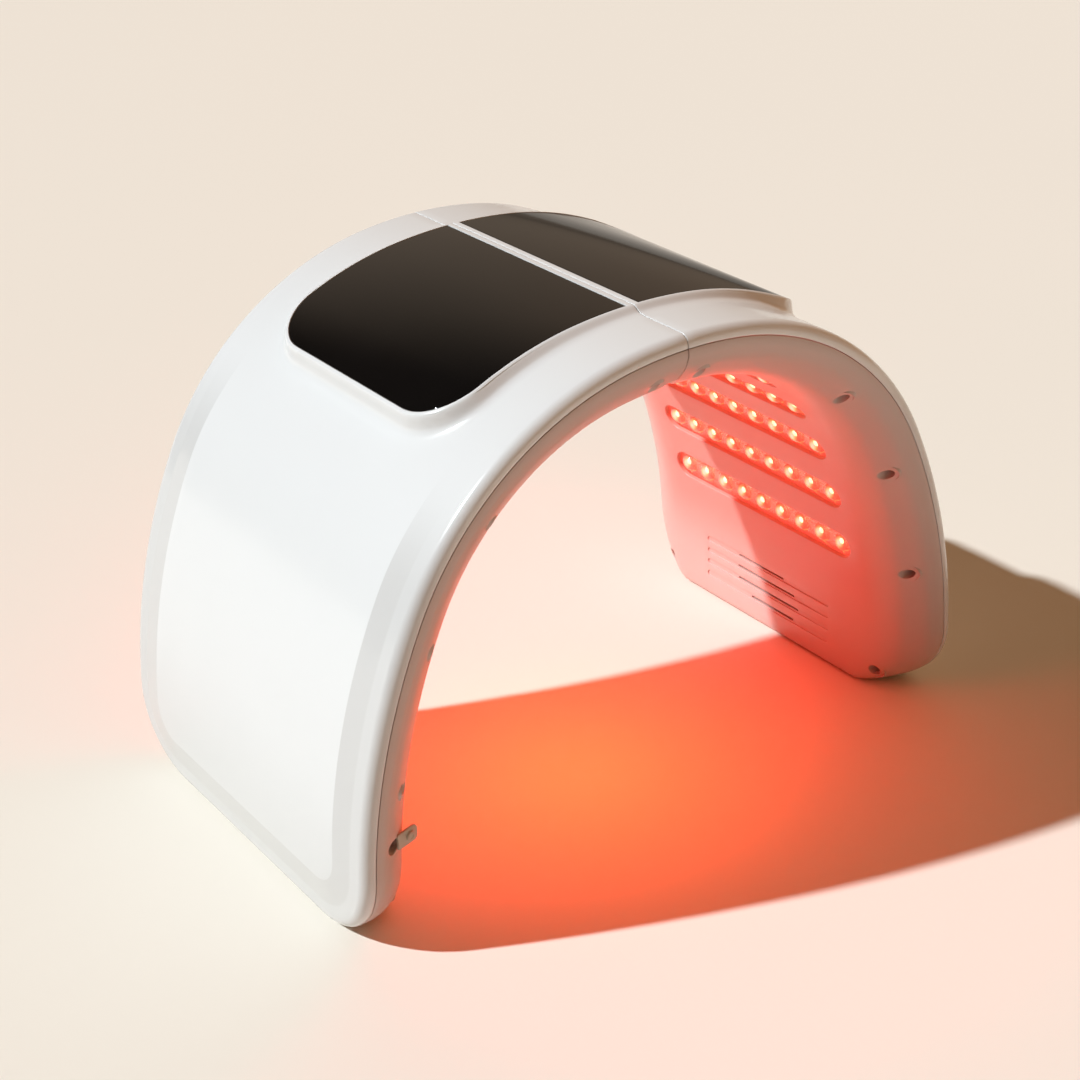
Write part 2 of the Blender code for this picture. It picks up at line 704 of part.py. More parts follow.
def build_flap():
    """Rubber flap, standing open beside the inlet. Its origin is on its strap's axis."""
    inlet = jack_frame().translation
    shape = bmesh.new()
    half = FLAP_WIDTH / 2
    add_box(shape, (-FLAP_HEEL, -FLAP_THICKNESS / 2, -half), (FLAP_LENGTH, FLAP_THICKNESS / 2, half))
    mesh = mesh_of("jack_flap", shape)
    root = Matrix.Translation(inlet + Vector((FLAP_ASIDE, FLAP_SETBACK, 0.0)))
    place = root @ Matrix.Rotation(FLAP_OPEN_TURN, 4, "Z")
    flap = add_part("jack_flap", mesh, RUBBER, place)
    bevel = flap.modifiers.new("rounding", "BEVEL")
    bevel.width = FLAP_ROUND
    bevel.segments = 1
    shape = bmesh.new()
    facing = Matrix.Translation((PLUG_REACH, 0, 0)) @ Matrix.Rotation(math.pi / 2, 4, "X")
    add_cylinder(shape, NUB_RADIUS, 0.0, FLAP_THICKNESS / 2 + NUB_HEIGHT, 12, facing)
    combine(flap, add_cutter("nub_tool", mesh_of("nub", shape), place), "UNION")


# ---- electronics --------------------------------------------------------------------------------
def build_electronics():
    shape = bmesh.new()
    add_box(shape, -CONTROL_BOARD_SIZE / 2, CONTROL_BOARD_SIZE / 2)
    board = mesh_of("control_board", shape)
    add_part("control_board", board, BOARD_GREEN, HALF_TURN @ seat(*CONTROL_BOARD_AT))
    edges = (TOUCH_BOARD_HALF_WIDTH, TOUCH_BOARD_END, TOUCH_BOARD_CORNER, TOUCH_BOARD_START)
    outline = patch_outline(*edges)
    layers = (TOUCH_BOARD_HEIGHT, TOUCH_BOARD_HEIGHT + BOARD_THICKNESS)
    touch = loft("touch_board", [[on_arch(s, y, h) for s, y in outline] for h in layers], capped=True)
    add_part("touch_board", touch, BOARD_GREEN, HALF_TURN)


def harness_mesh(name, points):
    """A round wire bundle on a smooth run through flat-form points, as a mesh with welded ends."""
    curve = bpy.data.curves.new(name, "CURVE")
    curve.dimensions = "3D"
    curve.bevel_depth = WIRE_RADIUS
    curve.bevel_resolution = 1
    curve.use_fill_caps = True
    spline = curve.splines.new("POLY")
    spline.points.add(len(points) - 1)
    for place, target in zip(points, spline.points):
        target.co = (*on_arch(*place), 1.0)
    carrier = bpy.data.objects.new(name, curve)
    PARTS.objects.link(carrier)
    bpy.context.view_layer.update()
    evaluated = carrier.evaluated_get(bpy.context.evaluated_depsgraph_get())
    mesh = bpy.data.meshes.new_from_object(evaluated)
    bpy.data.objects.remove(carrier, do_unlink=True)
    shape = bmesh.new()
    shape.from_mesh(mesh)
    bmesh.ops.remove_doubles(shape, verts=shape.verts, dist=0.00002)
    shape.to_mesh(mesh)
    shape.free()
    return mesh


def build_wiring():
    """One bundle in each half, lying behind the light board from the seam to the last row."""
    step = (row_place(ROW_COUNT - 1) - WIRE_START) / (WIRE_POINTS - 1)
    points = [(WIRE_START + step * i, WIRE_Y, WIRE_HEIGHT) for i in range(WIRE_POINTS)]
    wiring = harness_mesh("wire_bundle", points)
    for side, turn in SIDES:
        add_part(f"{side}_wire_bundle", wiring, WIRE_GREY, turn)


# ---- build --------------------------------------------------------------------------------------
clear_scene()
PARTS = collection("folding_light_arch")
CUTTERS = collection("cutters")
SIDES = (("left", HALF_TURN), ("right", Matrix.Identity(4)))

GLOSS_WHITE = material("gloss_white", (0.86, 0.86, 0.87), 0.18)
SATIN_WHITE = material("satin_white", (0.83, 0.82, 0.82), 0.38)
DARK_GLOSS = material("dark_gloss", (0.020, 0.014, 0.011), 0.07)
CLEAR = material("clear_lens", (0.95, 0.45, 0.40), 0.10)
BOARD_WHITE = material("board_white", (0.80, 0.78, 0.76), 0.50)
BOARD_GREEN = material("board_green", (0.05, 0.22, 0.11), 0.45)
STEEL = material("plated_steel", (0.60, 0.60, 0.61), 0.32, 1.0)
BLACK = material("black_moulding", (0.02, 0.02, 0.02), 0.40)
RUBBER = material("grey_rubber", (0.55, 0.50, 0.42), 0.65)
WIRE_GREY = material("wire_sleeve", (0.30, 0.30, 0.31), 0.60)

build_shells()
build_covers()
build_lights()
build_hinges()
build_screws()
build_jack()
build_flap()
build_electronics()
build_wiring()
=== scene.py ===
"""Looks of the folding light arch: fine shells, panels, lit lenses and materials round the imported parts.

Metres, +Z up, the front at -Y. Most places on a half are in flat form: s, the length along the outer
skin from the seam at the crown down to the foot; y, the place across the depth; h, the height above
the skin. The right half is made first, and the left half is the same shape turned half round.
"""

import json
import math

import bmesh
import bpy
import numpy as np
from mathutils import Matrix, Vector
from mathutils.geometry import delaunay_2d_cdt


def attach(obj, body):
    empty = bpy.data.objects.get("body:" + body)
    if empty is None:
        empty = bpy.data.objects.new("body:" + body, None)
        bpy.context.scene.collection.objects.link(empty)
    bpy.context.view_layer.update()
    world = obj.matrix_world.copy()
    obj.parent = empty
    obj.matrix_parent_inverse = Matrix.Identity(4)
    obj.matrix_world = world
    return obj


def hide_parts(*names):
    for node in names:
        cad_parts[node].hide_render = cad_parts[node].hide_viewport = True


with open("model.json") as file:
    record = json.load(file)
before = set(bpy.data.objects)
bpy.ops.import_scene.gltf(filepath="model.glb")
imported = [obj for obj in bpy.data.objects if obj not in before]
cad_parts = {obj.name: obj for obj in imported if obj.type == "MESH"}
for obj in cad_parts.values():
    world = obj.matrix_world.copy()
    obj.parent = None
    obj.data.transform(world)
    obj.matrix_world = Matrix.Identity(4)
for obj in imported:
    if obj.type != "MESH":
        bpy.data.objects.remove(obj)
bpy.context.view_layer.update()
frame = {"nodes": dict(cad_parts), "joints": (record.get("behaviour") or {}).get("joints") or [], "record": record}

# ---- dimensions shared with the CAD model -------------------------------------------------------
ARCS = ((0.208, math.radians(8.0)), (0.152, math.radians(56.0)), (0.312, math.radians(29.8)))
DEPTH = 0.213
THICKNESS = 0.0314
CORNER = 0.040
SEAM_HALF_GAP = 0.0002
GAP = 0.0003
PARTING = 0.0060
EDGE_ROUND = 0.0050
SHELL_WALL = 0.0016
COVER_WALL = 0.0022
LEVELLED = 0.040
HUMP_HALF_WIDTH = 0.0765
HUMP_END = 0.1140
HUMP_CORNER = 0.032
HUMP_SEAM_RISE = 0.0030
HUMP_END_RISE = 0.0085
PANEL_HALF_WIDTH = 0.0687
PANEL_START = 0.0033
PANEL_END = 0.1055
PANEL_CORNER = 0.025
PANEL_THICKNESS = 0.0019
BAND_OUTER = 0.0115
BAND_INNER = 0.0240
FIELD_RISE = 0.0012
FIELD_FADE = (0.115, 0.170)
ROW_COUNT = 7
ROW_FIRST = 0.041
ROW_PITCH = 0.0355
LIGHTS_PER_ROW = 9
LIGHT_PITCH = 0.0150
DOME_RADIUS = 0.0054
DOME_HEIGHT = 0.0032
SLOT_HALF_LENGTH = 0.0680
SLOT_HALF_WIDTH = 0.0085
LENS_MARGIN = 0.0025
LENS_FACE = COVER_WALL + GAP - THICKNESS
LENS_PLATE = 0.0015
BOARD_HEIGHT = -0.0262
GROOVE_TOP = -0.0225
GROOVE_HALF_WIDTH = 0.0066
SCREWS = ((0.014, 0.0985), (0.1245, 0.0985), (0.192, 0.0985), (0.2605, 0.0985), (0.3285, 0.0815))
COUNTERBORE_RADIUS = 0.0029
CUP_SEAT = -0.0119
HINGE_Y = 0.060
WINDOW_HALF_LENGTH = 0.0154
WINDOW_REACH = 0.0062
WINDOW_ROOF = -0.0165
JACK_S = 0.2864
JACK_HEIGHT = -0.0165
JACK_HOLE_RADIUS = 0.0036
JACK_RECESS = 0.0095
FLAP_LENGTH = 0.0100
FLAP_HEEL = 0.0021
FLAP_HALF_WIDTH = 0.0039
FLAP_HALF_THICKNESS = 0.0007
FLAP_OPEN_TURN = math.radians(15.0)
PLUG_X = 0.0051
PLUG_RADIUS = 0.0024

# Vents: distance of each groove from the foot, and where its open slot starts and ends across.
VENTS = ((0.0380, -0.0132, 0.0226), (0.0300, -0.0217, 0.0237), (0.0222, -0.0250, 0.0229),
         (0.0145, -0.0214, 0.0120))
VENT_HALF_LENGTH = 0.0485
VENT_GROOVE_HALF_WIDTH = 0.0016
VENT_SLOT_HALF_WIDTH = 0.00065
VENT_DEPTH = 0.0007

# ---- fineness -----------------------------------------------------------------------------------
SIDE_STEPS = 56
CORNER_STEPS = 20
FOOT_STEPS = 40
FILL_SPACING = 0.0055
FILL_CLEARANCE = 0.0003
SAME_PLACE = 1e-7

ARCH_LENGTH = sum(radius * sweep for radius, sweep in ARCS)
HALF_TURN = Matrix.Rotation(math.pi, 4, "Z")
SIDES = (("left", HALF_TURN), ("right", Matrix.Identity(4)))


# ---- the arch as a surface ----------------------------------------------------------------------
def smooth(t):
    """Eases from 0 to 1 as t runs from 0 to 1."""
    t = min(max(t, 0.0), 1.0)
    return t * t * (3.0 - 2.0 * t)


def arch_frame(s):
    """Distance out, drop and slope of the outer skin at length s from the seam."""
    out, drop, slope = 0.0, 0.0, 0.0
    for radius, sweep in ARCS:
        turn = min(s / radius, sweep)
        out += radius * (math.sin(slope + turn) - math.sin(slope))
        drop += radius * (math.cos(slope) - math.cos(slope + turn))
        slope += turn
        s -= radius * turn
    return out, drop, slope


CROWN = arch_frame(ARCH_LENGTH)[1]


def on_arch(s, y, h):
    """The point in space, on the right half, of a place in flat form."""
    out, drop, slope = arch_frame(s)
    level = smooth((s - ARCH_LENGTH + LEVELLED) / LEVELLED)
    lift = h * math.cos(slope) * (1.0 - level)
    return Vector((out + h * math.sin(slope), y, CROWN - drop + lift))


def seat(s, y, h):
    """A frame on the arch: local X down the side, local Y to the rear, local Z out of the skin."""
    return Matrix.Translation(on_arch(s, y, h)) @ Matrix.Rotation(arch_frame(s)[2], 4, "Y")


def u_line(half_width, end, corner_s, corner_y, start):
    """An open line down the front side, round the foot and back up the rear side, as (s, y)."""
    centre_s, centre_y = end - corner_s, half_width - corner_y
    rear = [(start + (centre_s - start) * i / SIDE_STEPS, half_width) for i in range(SIDE_STEPS)]
    for i in range(CORNER_STEPS + 1):
        angle = math.pi / 2 * i / CORNER_STEPS
        rear.append((centre_s + corner_s * math.sin(angle), centre_y + corner_y * math.cos(angle)))
    across = [(end, centre_y * (2 * i / FOOT_STEPS - 1)) for i in range(1, FOOT_STEPS)]
    return [(s, -y) for s, y in rear] + across + rear[::-1]


def half_line(side, foot, start):
    """A half's outline, moved in from its front and rear edges and from its foot."""
    return u_line(DEPTH / 2 - side, ARCH_LENGTH - foot, CORNER - foot, CORNER - side, start)


def patch_line(half_width, end, corner, start, inset):
    """The outline of the hump or the panel, moved in."""
    return u_line(half_width - inset, end - inset, corner - inset, corner - inset, start)


def pill_line(s, y, half_s, half_y, steps=14):
    """A closed slot outline with half-round ends, centred at (s, y) and long in y."""
    arc = [math.pi * i / steps for i in range(steps + 1)]
    rear = [(half_s * math.cos(a), half_y - half_s + half_s * math.sin(a)) for a in arc]
    return [(s + a, y + b) for a, b in rear + [(-a, -b) for a, b in rear]]


def circle_line(s, y, radius, steps=28):
    turns = [2 * math.pi * i / steps for i in range(steps)]
    return [(s + radius * math.cos(a), y + radius * math.sin(a)) for a in turns]


def spline(knots, steps):
    """Rows of numbers on a smooth run through the knots, with steps rows to each stretch."""
    knots = np.array(knots, float)
    ends = np.vstack([2 * knots[0] - knots[1], knots, 2 * knots[-1] - knots[-2]])
    rows = []
    for i in range(1, len(ends) - 2):
        before, start, end, after = ends[i - 1 : i + 3]
        for t in np.arange(steps) / steps:
            bend = (2 * before - 5 * start + 4 * end - after) * t
            bend = bend + (3 * start - before - 3 * end + after) * t * t
            rows.append(start + 0.5 * t * ((end - before) + bend))
    return np.vstack([rows, knots[-1]])


# ---- sheets of faces in flat form ---------------------------------------------------------------
def inside(points, loop):
    """Which of the points are inside a closed loop."""
    hit = np.zeros(len(points), bool)
    for (s0, y0), (s1, y1) in zip(loop, np.roll(loop, -1, axis=0)):
        spans = (y0 > points[:, 1]) != (y1 > points[:, 1])
        if y0 != y1:
            cross = s0 + (points[:, 1] - y0) / (y1 - y0) * (s1 - s0)
            hit ^= spans & (points[:, 0] < cross)
    return hit


def distance_to(points, starts, ends):
    """Distance of each point to the nearest of the segments."""
    nearest = np.full(len(points), np.inf)
    for start, end in zip(starts, ends):
        along = end - start
        share = np.clip((points - start) @ along / max(along @ along, 1e-18), 0.0, 1.0)
        nearest = np.minimum(nearest, np.linalg.norm(points - start - share[:, None] * along, axis=1))
    return nearest


class Sheet:
    """Faces over the flat form. Each vertex is (s, y, h) until the sheet is placed on the arch."""

    def __init__(self):
        self.places = []
        self.faces = []

    def line(self, outline, height):
        """Adds vertices along an outline, at one height or at height(s, y)."""
        first = len(self.places)
        for s, y in outline:
            self.places.append((s, y, height(s, y) if callable(height) else height))
        return list(range(first, len(self.places)))

    def bridge(self, lower, upper, closed=False):
        count = len(lower)
        for i in range(count if closed else count - 1):
            j = (i + 1) % count
            self.faces.append((lower[i], lower[j], upper[j], upper[i]))

    def stack(self, lines, closed=False):
        for lower, upper in zip(lines, lines[1:]):
            self.bridge(lower, upper, closed)

    def strips(self, ring):
        """Closes a ring that runs down one side and back up the other with strips straight across."""
        for i in range(len(ring) // 2 - 1):
            self.faces.append((ring[i], ring[i + 1], ring[-2 - i], ring[-1 - i]))

    def fill(self, loops, surface, spacing=FILL_SPACING, extra=(), flatten=None):
        """Triangles inside the first loop and outside the others, over a grid and any extra points.

        surface(u, v) gives a new point's height, or with flatten its whole place. flatten(place) is
        its inverse: the (u, v) of a vertex on a loop.
        """
        rim = [i for loop in loops for i in loop]
        spread = flatten or (lambda place: place[:2])
        flat = np.array([spread(self.places[i]) for i in rim])
        outlines, edges, first = [], [], 0
        for loop in loops:
            outlines.append(flat[first : first + len(loop)])
            edges += [(first + i, first + (i + 1) % len(loop)) for i in range(len(loop))]
            first += len(loop)
        starts, ends = flat[[a for a, _ in edges]], flat[[b for _, b in edges]]
        low, high = outlines[0].min(0), outlines[0].max(0)
        counts = np.maximum(np.round((high - low) / spacing).astype(int), 1)
        columns = [np.linspace(a, b, n + 1) for a, b, n in zip(low, high, counts)]
        grid = np.array(np.meshgrid(*columns)).reshape(2, -1).T
        grid = grid[distance_to(grid, starts, ends) > 0.45 * spacing]
        if len(extra):
            extra = np.array(extra)
            extra = extra[distance_to(extra, starts, ends) > FILL_CLEARANCE]
            apart = np.linalg.norm(grid[:, None] - extra[None], axis=2).min(1) > 0.6 * spacing
            grid = np.vstack([grid[apart], extra])
        points = [Vector(p) for p in np.vstack([flat, grid])]
        made, _, faces, origins, _, _ = delaunay_2d_cdt(points, edges, [], 0, SAME_PLACE)
        centres = np.array([sum((made[i] for i in face), Vector((0, 0))) / 3 for face in faces])
        keep = inside(centres, outlines[0])
        for hole in outlines[1:]:
            keep &= ~inside(centres, hole)
        number = {}
        for face, kept in zip(faces, keep):
            if not kept:
                continue
            for i in face:
                if i not in number:
                    known = [k for k in origins[i] if k < len(rim)]
                    if known:
                        number[i] = rim[known[0]]
                    else:
                        number[i] = len(self.places)
                        new = surface(*made[i])
                        self.places.append(new if flatten else (*made[i], new))
            self.faces.append(tuple(number[i] for i in face))

    def mesh(self, name, outward=0.0, put=on_arch, painted_light=None):
        """The sheet as a mesh, each place put in space by a function.

        Faces look out of the arch for outward 1 and into it for -1. For 0 the sheet is closed, and
        they look out of it. The last argument fills, from (s, y), an attribute of painted light and shade.
        """
        shape = bmesh.new()
        layer = shape.verts.layers.float.new("painted_light") if painted_light else None
        vertices = [shape.verts.new(put(*place)) for place in self.places]
        if painted_light:
            for vertex, (s, y, _) in zip(vertices, self.places):
                vertex[layer] = painted_light(s, y)
        for face in self.faces:
            if len(set(face)) == len(face):
                shape.faces.new([vertices[i] for i in face])
        bmesh.ops.delete(shape, geom=[v for v in shape.verts if not v.link_faces], context="VERTS")
        bmesh.ops.recalc_face_normals(shape, faces=shape.faces)
        facing = 0.0
        for face in shape.faces:
            out, _, up = face.calc_center_median()
            facing += face.normal.dot(Vector((out, 0, up))) * face.calc_area()
        if facing * outward < 0:
            bmesh.ops.reverse_faces(shape, faces=shape.faces)
        return as_mesh(name, shape)


def seam_edge(sheet, profile, radius, steps=4):
    """Rounds the edge of a sheet along the seam and closes the end that butts against the other half."""
    rows = [profile]
    places = np.array([sheet.places[i] for i in profile])
    along = np.gradient(places[:, 1:], axis=0)
    normals = np.c_[-along[:, 1], along[:, 0]] / np.linalg.norm(along, axis=1)[:, None]
    normals[0], normals[-1] = (-1.0, 0.0), (1.0, 0.0)
    for step in range(1, steps + 1):
        angle = math.pi / 2 * step / steps
        first = len(sheet.places)
        for (s, y, h), (across, up) in zip(places, normals):
            drop = radius * (1.0 - math.cos(angle))
            sheet.places.append((s - radius * math.sin(angle), y - across * drop, h - up * drop))
        rows.append(list(range(first, len(sheet.places))))
    sheet.stack(rows)
    sheet.faces.append(tuple(rows[-1]))


# ---- scene bookkeeping --------------------------------------------------------------------------
def as_mesh(name, shape):
    """A mesh from a shape that is being built."""
    mesh = bpy.data.meshes.new(name)
    shape.to_mesh(mesh)
    shape.free()
    return mesh


def add_object(name, data, matrix=Matrix.Identity(4)):
    obj = bpy.data.objects.new(name, data)
    bpy.context.scene.collection.objects.link(obj)
    obj.matrix_world = matrix
    return obj


def add_piece(name, mesh, material, body, replaced=(), turn=Matrix.Identity(4), sharp=30.0):
    """Adds a piece from a mesh, smooth except at sharp edges, and lets it ride on a body."""
    obj = add_object(name, mesh, turn)
    if not mesh.materials:
        mesh.materials.append(material)
    mesh.shade_smooth()
    mesh.set_sharp_from_angle(angle=math.radians(sharp))
    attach(obj, body)
    if replaced:
        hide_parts(*replaced)
    return obj


def applied(name, mesh, *changes):
    """The mesh after some modifiers. Each change gets a carrier object and adds its modifier."""
    carrier = add_object(name, mesh)
    for change in changes:
        change(carrier)
    bpy.context.view_layer.update()
    result = bpy.data.meshes.new_from_object(carrier.evaluated_get(bpy.context.evaluated_depsgraph_get()))
    result.name = name
    bpy.data.objects.remove(carrier, do_unlink=True)
    return result


def wall(thickness):
    """A change that gives a sheet its wall, on the side its faces look away from."""
    def change(obj):
        solid = obj.modifiers.new("wall", "SOLIDIFY")
        solid.thickness = thickness
        solid.offset = -1.0
        solid.use_even_offset = False
    return change


# ---- materials ----------------------------------------------------------------------------------
class Finish:
    """A node material built up from a Principled shader."""

    def __init__(self, name, colour, roughness, metallic=0.0, **sockets):
        self.material = bpy.data.materials.new(name)
        self.material.use_nodes = True
        self.nodes = self.material.node_tree.nodes
        self.links = self.material.node_tree.links
        self.shader = self.nodes["Principled BSDF"]
        self.colour = colour
        self.roughness = roughness
        self.shader.inputs["Base Color"].default_value = (*colour, 1.0)
        self.shader.inputs["Roughness"].default_value = roughness
        self.shader.inputs["Metallic"].default_value = metallic
        for socket, value in sockets.items():
            self.shader.inputs[socket.replace("_", " ")].default_value = value
        self.place = self.nodes.new("ShaderNodeTexCoord").outputs["Object"]

    def noise(self, scale, detail=3.0, roughness=0.55, stretch=(1, 1, 1)):
        mapping = self.nodes.new("ShaderNodeMapping")
        mapping.inputs["Scale"].default_value = stretch
        self.links.new(self.place, mapping.inputs["Vector"])
        texture = self.nodes.new("ShaderNodeTexNoise")
        texture.inputs["Scale"].default_value = scale
        texture.inputs["Detail"].default_value = detail
        texture.inputs["Roughness"].default_value = roughness
        self.links.new(mapping.outputs["Vector"], texture.inputs["Vector"])
        return texture.outputs["Fac"]

    def ramp(self, value, stops):
        ramp = self.nodes.new("ShaderNodeValToRGB")
        while len(ramp.color_ramp.elements) < len(stops):
            ramp.color_ramp.elements.new(1.0)
        for element, (position, colour) in zip(ramp.color_ramp.elements, stops):
            element.position = position
            element.color = (*colour, 1.0)
        self.links.new(value, ramp.inputs["Fac"])
        return ramp.outputs["Color"]

    def mottle(self, scale, spread):
        """Lets the colour drift a little from place to place."""
        low = tuple(c * (1.0 - spread) for c in self.colour)
        high = tuple(min(c * (1.0 + spread), 1.0) for c in self.colour)
        colour = self.ramp(self.noise(scale, 2.0), ((0.3, low), (0.7, high)))
        self.links.new(colour, self.shader.inputs["Base Color"])
        return self

    def shade(self, attribute, amount):
        """Paints light or shade into the colour: darkens each channel by a share where an attribute is 1."""
        painted_light = self.nodes.new("ShaderNodeAttribute")
        painted_light.attribute_name = attribute
        mix = self.nodes.new("ShaderNodeMix")
        mix.data_type = "RGBA"
        mix.blend_type = "MULTIPLY"
        mix.inputs["B"].default_value = (*(1.0 - share for share in amount), 1.0)
        self.links.new(painted_light.outputs["Fac"], mix.inputs["Factor"])
        self.links.new(self.shader.inputs["Base Color"].links[0].from_socket, mix.inputs["A"])
        self.links.new(mix.outputs["Result"], self.shader.inputs["Base Color"])
        return self

    def vary_roughness(self, scale, spread, stretch=(1, 1, 1)):
        levels = [(0.25, (self.roughness - spread,) * 3), (0.75, (self.roughness + spread,) * 3)]
        value = self.ramp(self.noise(scale, 4.0, 0.6, stretch), levels)
        self.links.new(value, self.shader.inputs["Roughness"])
        return self

    def fade(self, socket, start, end, high, low):
        """Lets a value of the shader fall as the surface turns away from the viewer."""
        facing = self.nodes.new("ShaderNodeLayerWeight")
        fall = self.nodes.new("ShaderNodeMapRange")
        limits = (("From Min", start), ("From Max", end), ("To Min", high), ("To Max", low))
        for name, value in limits:
            fall.inputs[name].default_value = value
        self.links.new(facing.outputs["Facing"], fall.inputs["Value"])
        self.links.new(fall.outputs["Result"], self.shader.inputs[socket])
        return self

    def bump(self, scale, depth, detail=3.0, stretch=(1, 1, 1)):
        node = self.nodes.new("ShaderNodeBump")
        node.inputs["Strength"].default_value = 1.0
        node.inputs["Distance"].default_value = depth
        self.links.new(self.noise(scale, detail, 0.6, stretch), node.inputs["Height"])
        previous = self.shader.inputs["Normal"]
        if previous.is_linked:
            self.links.new(previous.links[0].from_socket, node.inputs["Normal"])
        self.links.new(node.outputs["Normal"], self.shader.inputs["Normal"])
        return self

    def done(self):
        return self.material


def make_materials():
    finishes = {}
    gloss = Finish("gloss_white", (0.745, 0.742, 0.733), 0.22,
                   Coat_Weight=0.35, Coat_Roughness=0.06)
    # Painted shade: the shell is darkened on its band, on the rim outside it and low on the field by the foot.
    gloss.mottle(9.0, 0.006).shade("painted_light", (0.165, 0.175, 0.185))
    finishes["gloss_white"] = gloss.vary_roughness(30.0, 0.03).bump(260.0, 0.000004).done()
    # Painted red light: the white cover's colour is held low in green and blue, for the rows' red glow on it.
    satin = Finish("satin_white", (0.560, 0.435, 0.390), 0.40,
                   Subsurface_Weight=0.05, Subsurface_Scale=0.002)
    # Painted red light: round the light rows the cover's face loses green and blue, as if lit red by them.
    satin.mottle(12.0, 0.01).shade("painted_light", (0.0, 0.30, 0.33))
    finishes["satin_white"] = satin.vary_roughness(60.0, 0.04).bump(1500.0, 0.000012).done()
    dark = Finish("dark_gloss", (0.0035, 0.0032, 0.0032), 0.08, IOR=1.5)
    dark.fade("Specular IOR Level", 0.50, 0.82, 0.5, 0.01)
    dark.mottle(14.0, 0.15).vary_roughness(18.0, 0.015)
    finishes["dark_gloss"] = dark.bump(40.0, 0.000002).done()
    # Painted red light: the white board is tinted pink and glows red, standing for the rows' light falling on it.
    board = Finish("board_white", (0.72, 0.50, 0.46), 0.50, Emission_Strength=0.55)
    board.shader.inputs["Emission Color"].default_value = (0.85, 0.15, 0.09, 1.0)
    finishes["board_white"] = board.mottle(60.0, 0.05).bump(900.0, 0.00001).done()
    green = Finish("board_green", (0.03, 0.17, 0.08), 0.42)
    green.mottle(220.0, 0.25).vary_roughness(150.0, 0.08)
    finishes["board_green"] = green.bump(700.0, 0.00002).done()
    steel = Finish("plated_steel", (0.62, 0.61, 0.60), 0.30, 1.0)
    steel.vary_roughness(400.0, 0.08, (1, 12, 1))
    finishes["plated_steel"] = steel.bump(900.0, 0.000006, 4.0, (1, 10, 1)).done()
    black = Finish("black_moulding", (0.018, 0.018, 0.019), 0.42)
    black.mottle(90.0, 0.2).vary_roughness(300.0, 0.08)
    finishes["black_moulding"] = black.bump(1800.0, 0.00001).done()
    rubber = Finish("grey_rubber", (0.52, 0.45, 0.37), 0.62,
                    Subsurface_Weight=0.1, Subsurface_Scale=0.001)
    rubber.mottle(300.0, 0.05).vary_roughness(400.0, 0.06)
    finishes["grey_rubber"] = rubber.bump(2500.0, 0.00001).done()
    sleeve = Finish("wire_sleeve", (0.10, 0.10, 0.11), 0.6)
    sleeve.mottle(400.0, 0.2).vary_roughness(200.0, 0.08)
    finishes["wire_sleeve"] = sleeve.bump(1200.0, 0.00004).done()
    finishes["clear_lens"] = lens_material()
    finishes["light_core"] = core_material()
    return finishes


def lens_material():
    """Clear lens over red lights. Its glow attribute runs from 0, unlit, up to 1 at a light's heart."""
    lens = Finish("clear_lens", (0.80, 0.22, 0.17), 0.07, Coat_Weight=0.6, Coat_Roughness=0.03)
    glow = lens.nodes.new("ShaderNodeAttribute")
    glow.attribute_name = "glow"
    stops = ((0.0, (0.42, 0.035, 0.022)), (0.20, (0.60, 0.065, 0.045)), (0.36, (0.78, 0.085, 0.045)),
             (0.50, (1.0, 0.24, 0.075)), (0.66, (1.0, 0.52, 0.16)), (0.82, (1.0, 0.86, 0.46)),
             (1.0, (1.0, 0.96, 0.80)))
    lens.links.new(lens.ramp(glow.outputs["Fac"], stops), lens.shader.inputs["Emission Color"])
    solid = lens.ramp(glow.outputs["Fac"], ((0.20, (0.45,) * 3), (0.36, (0.80,) * 3)))
    lens.links.new(solid, lens.shader.inputs["Alpha"])
    lens.shader.inputs["Emission Strength"].default_value = 0.80
    return lens.vary_roughness(60.0, 0.02).bump(350.0, 0.00001).done()


def core_material():
    """The lit heart of a light, brightest when looked at straight on."""
    core = Finish("light_core", (1.0, 0.8, 0.5), 0.3)
    stops = ((0.35, (1.0, 0.74, 0.36)), (0.65, (1.0, 0.88, 0.60)))
    core.links.new(core.ramp(core.noise(500.0), stops), core.shader.inputs["Emission Color"])
    return core.fade("Emission Strength", 0.35, 0.90, 7.0, 1.2).done()


# ---- outer shell --------------------------------------------------------------------------------
SEAM_ROUND = 0.0003
SEAM_START = SEAM_HALF_GAP + SEAM_ROUND
LIP_ROUND = 0.00025
LIP = ((1.0, 0.0), (0.3, 0.3), (0.0, 1.0))
EDGE_STEPS = 9
BAND_ROUND = 0.0008
POCKET_GAP = 0.00025
PANEL_ROUND = 0.0004
PANEL_SINK = 0.00012


def field_height(s, y=0.0):
    """Height of the raised field: it fades to the skin's own height towards the hump."""
    return FIELD_RISE * smooth((s - FIELD_FADE[0]) / (FIELD_FADE[1] - FIELD_FADE[0]))


def hump_top(s, y=0.0):
    """Height of the hump's top over the skin: it grows away from the seam."""
    return HUMP_SEAM_RISE + (HUMP_END_RISE - HUMP_SEAM_RISE) * (s / HUMP_END) ** 2


def band_share(inset):
    """Share of the field's rise reached at an inset, a ramp with softened ends."""
    share = 0.0
    for start, sign in ((BAND_OUTER, 1.0), (BAND_INNER, -1.0)):
        past = inset - start
        if past > BAND_ROUND:
            share += sign * past
        elif past > -BAND_ROUND:
            share += sign * (past + BAND_ROUND) ** 2 / (4 * BAND_ROUND)
    return share / (BAND_INNER - BAND_OUTER)


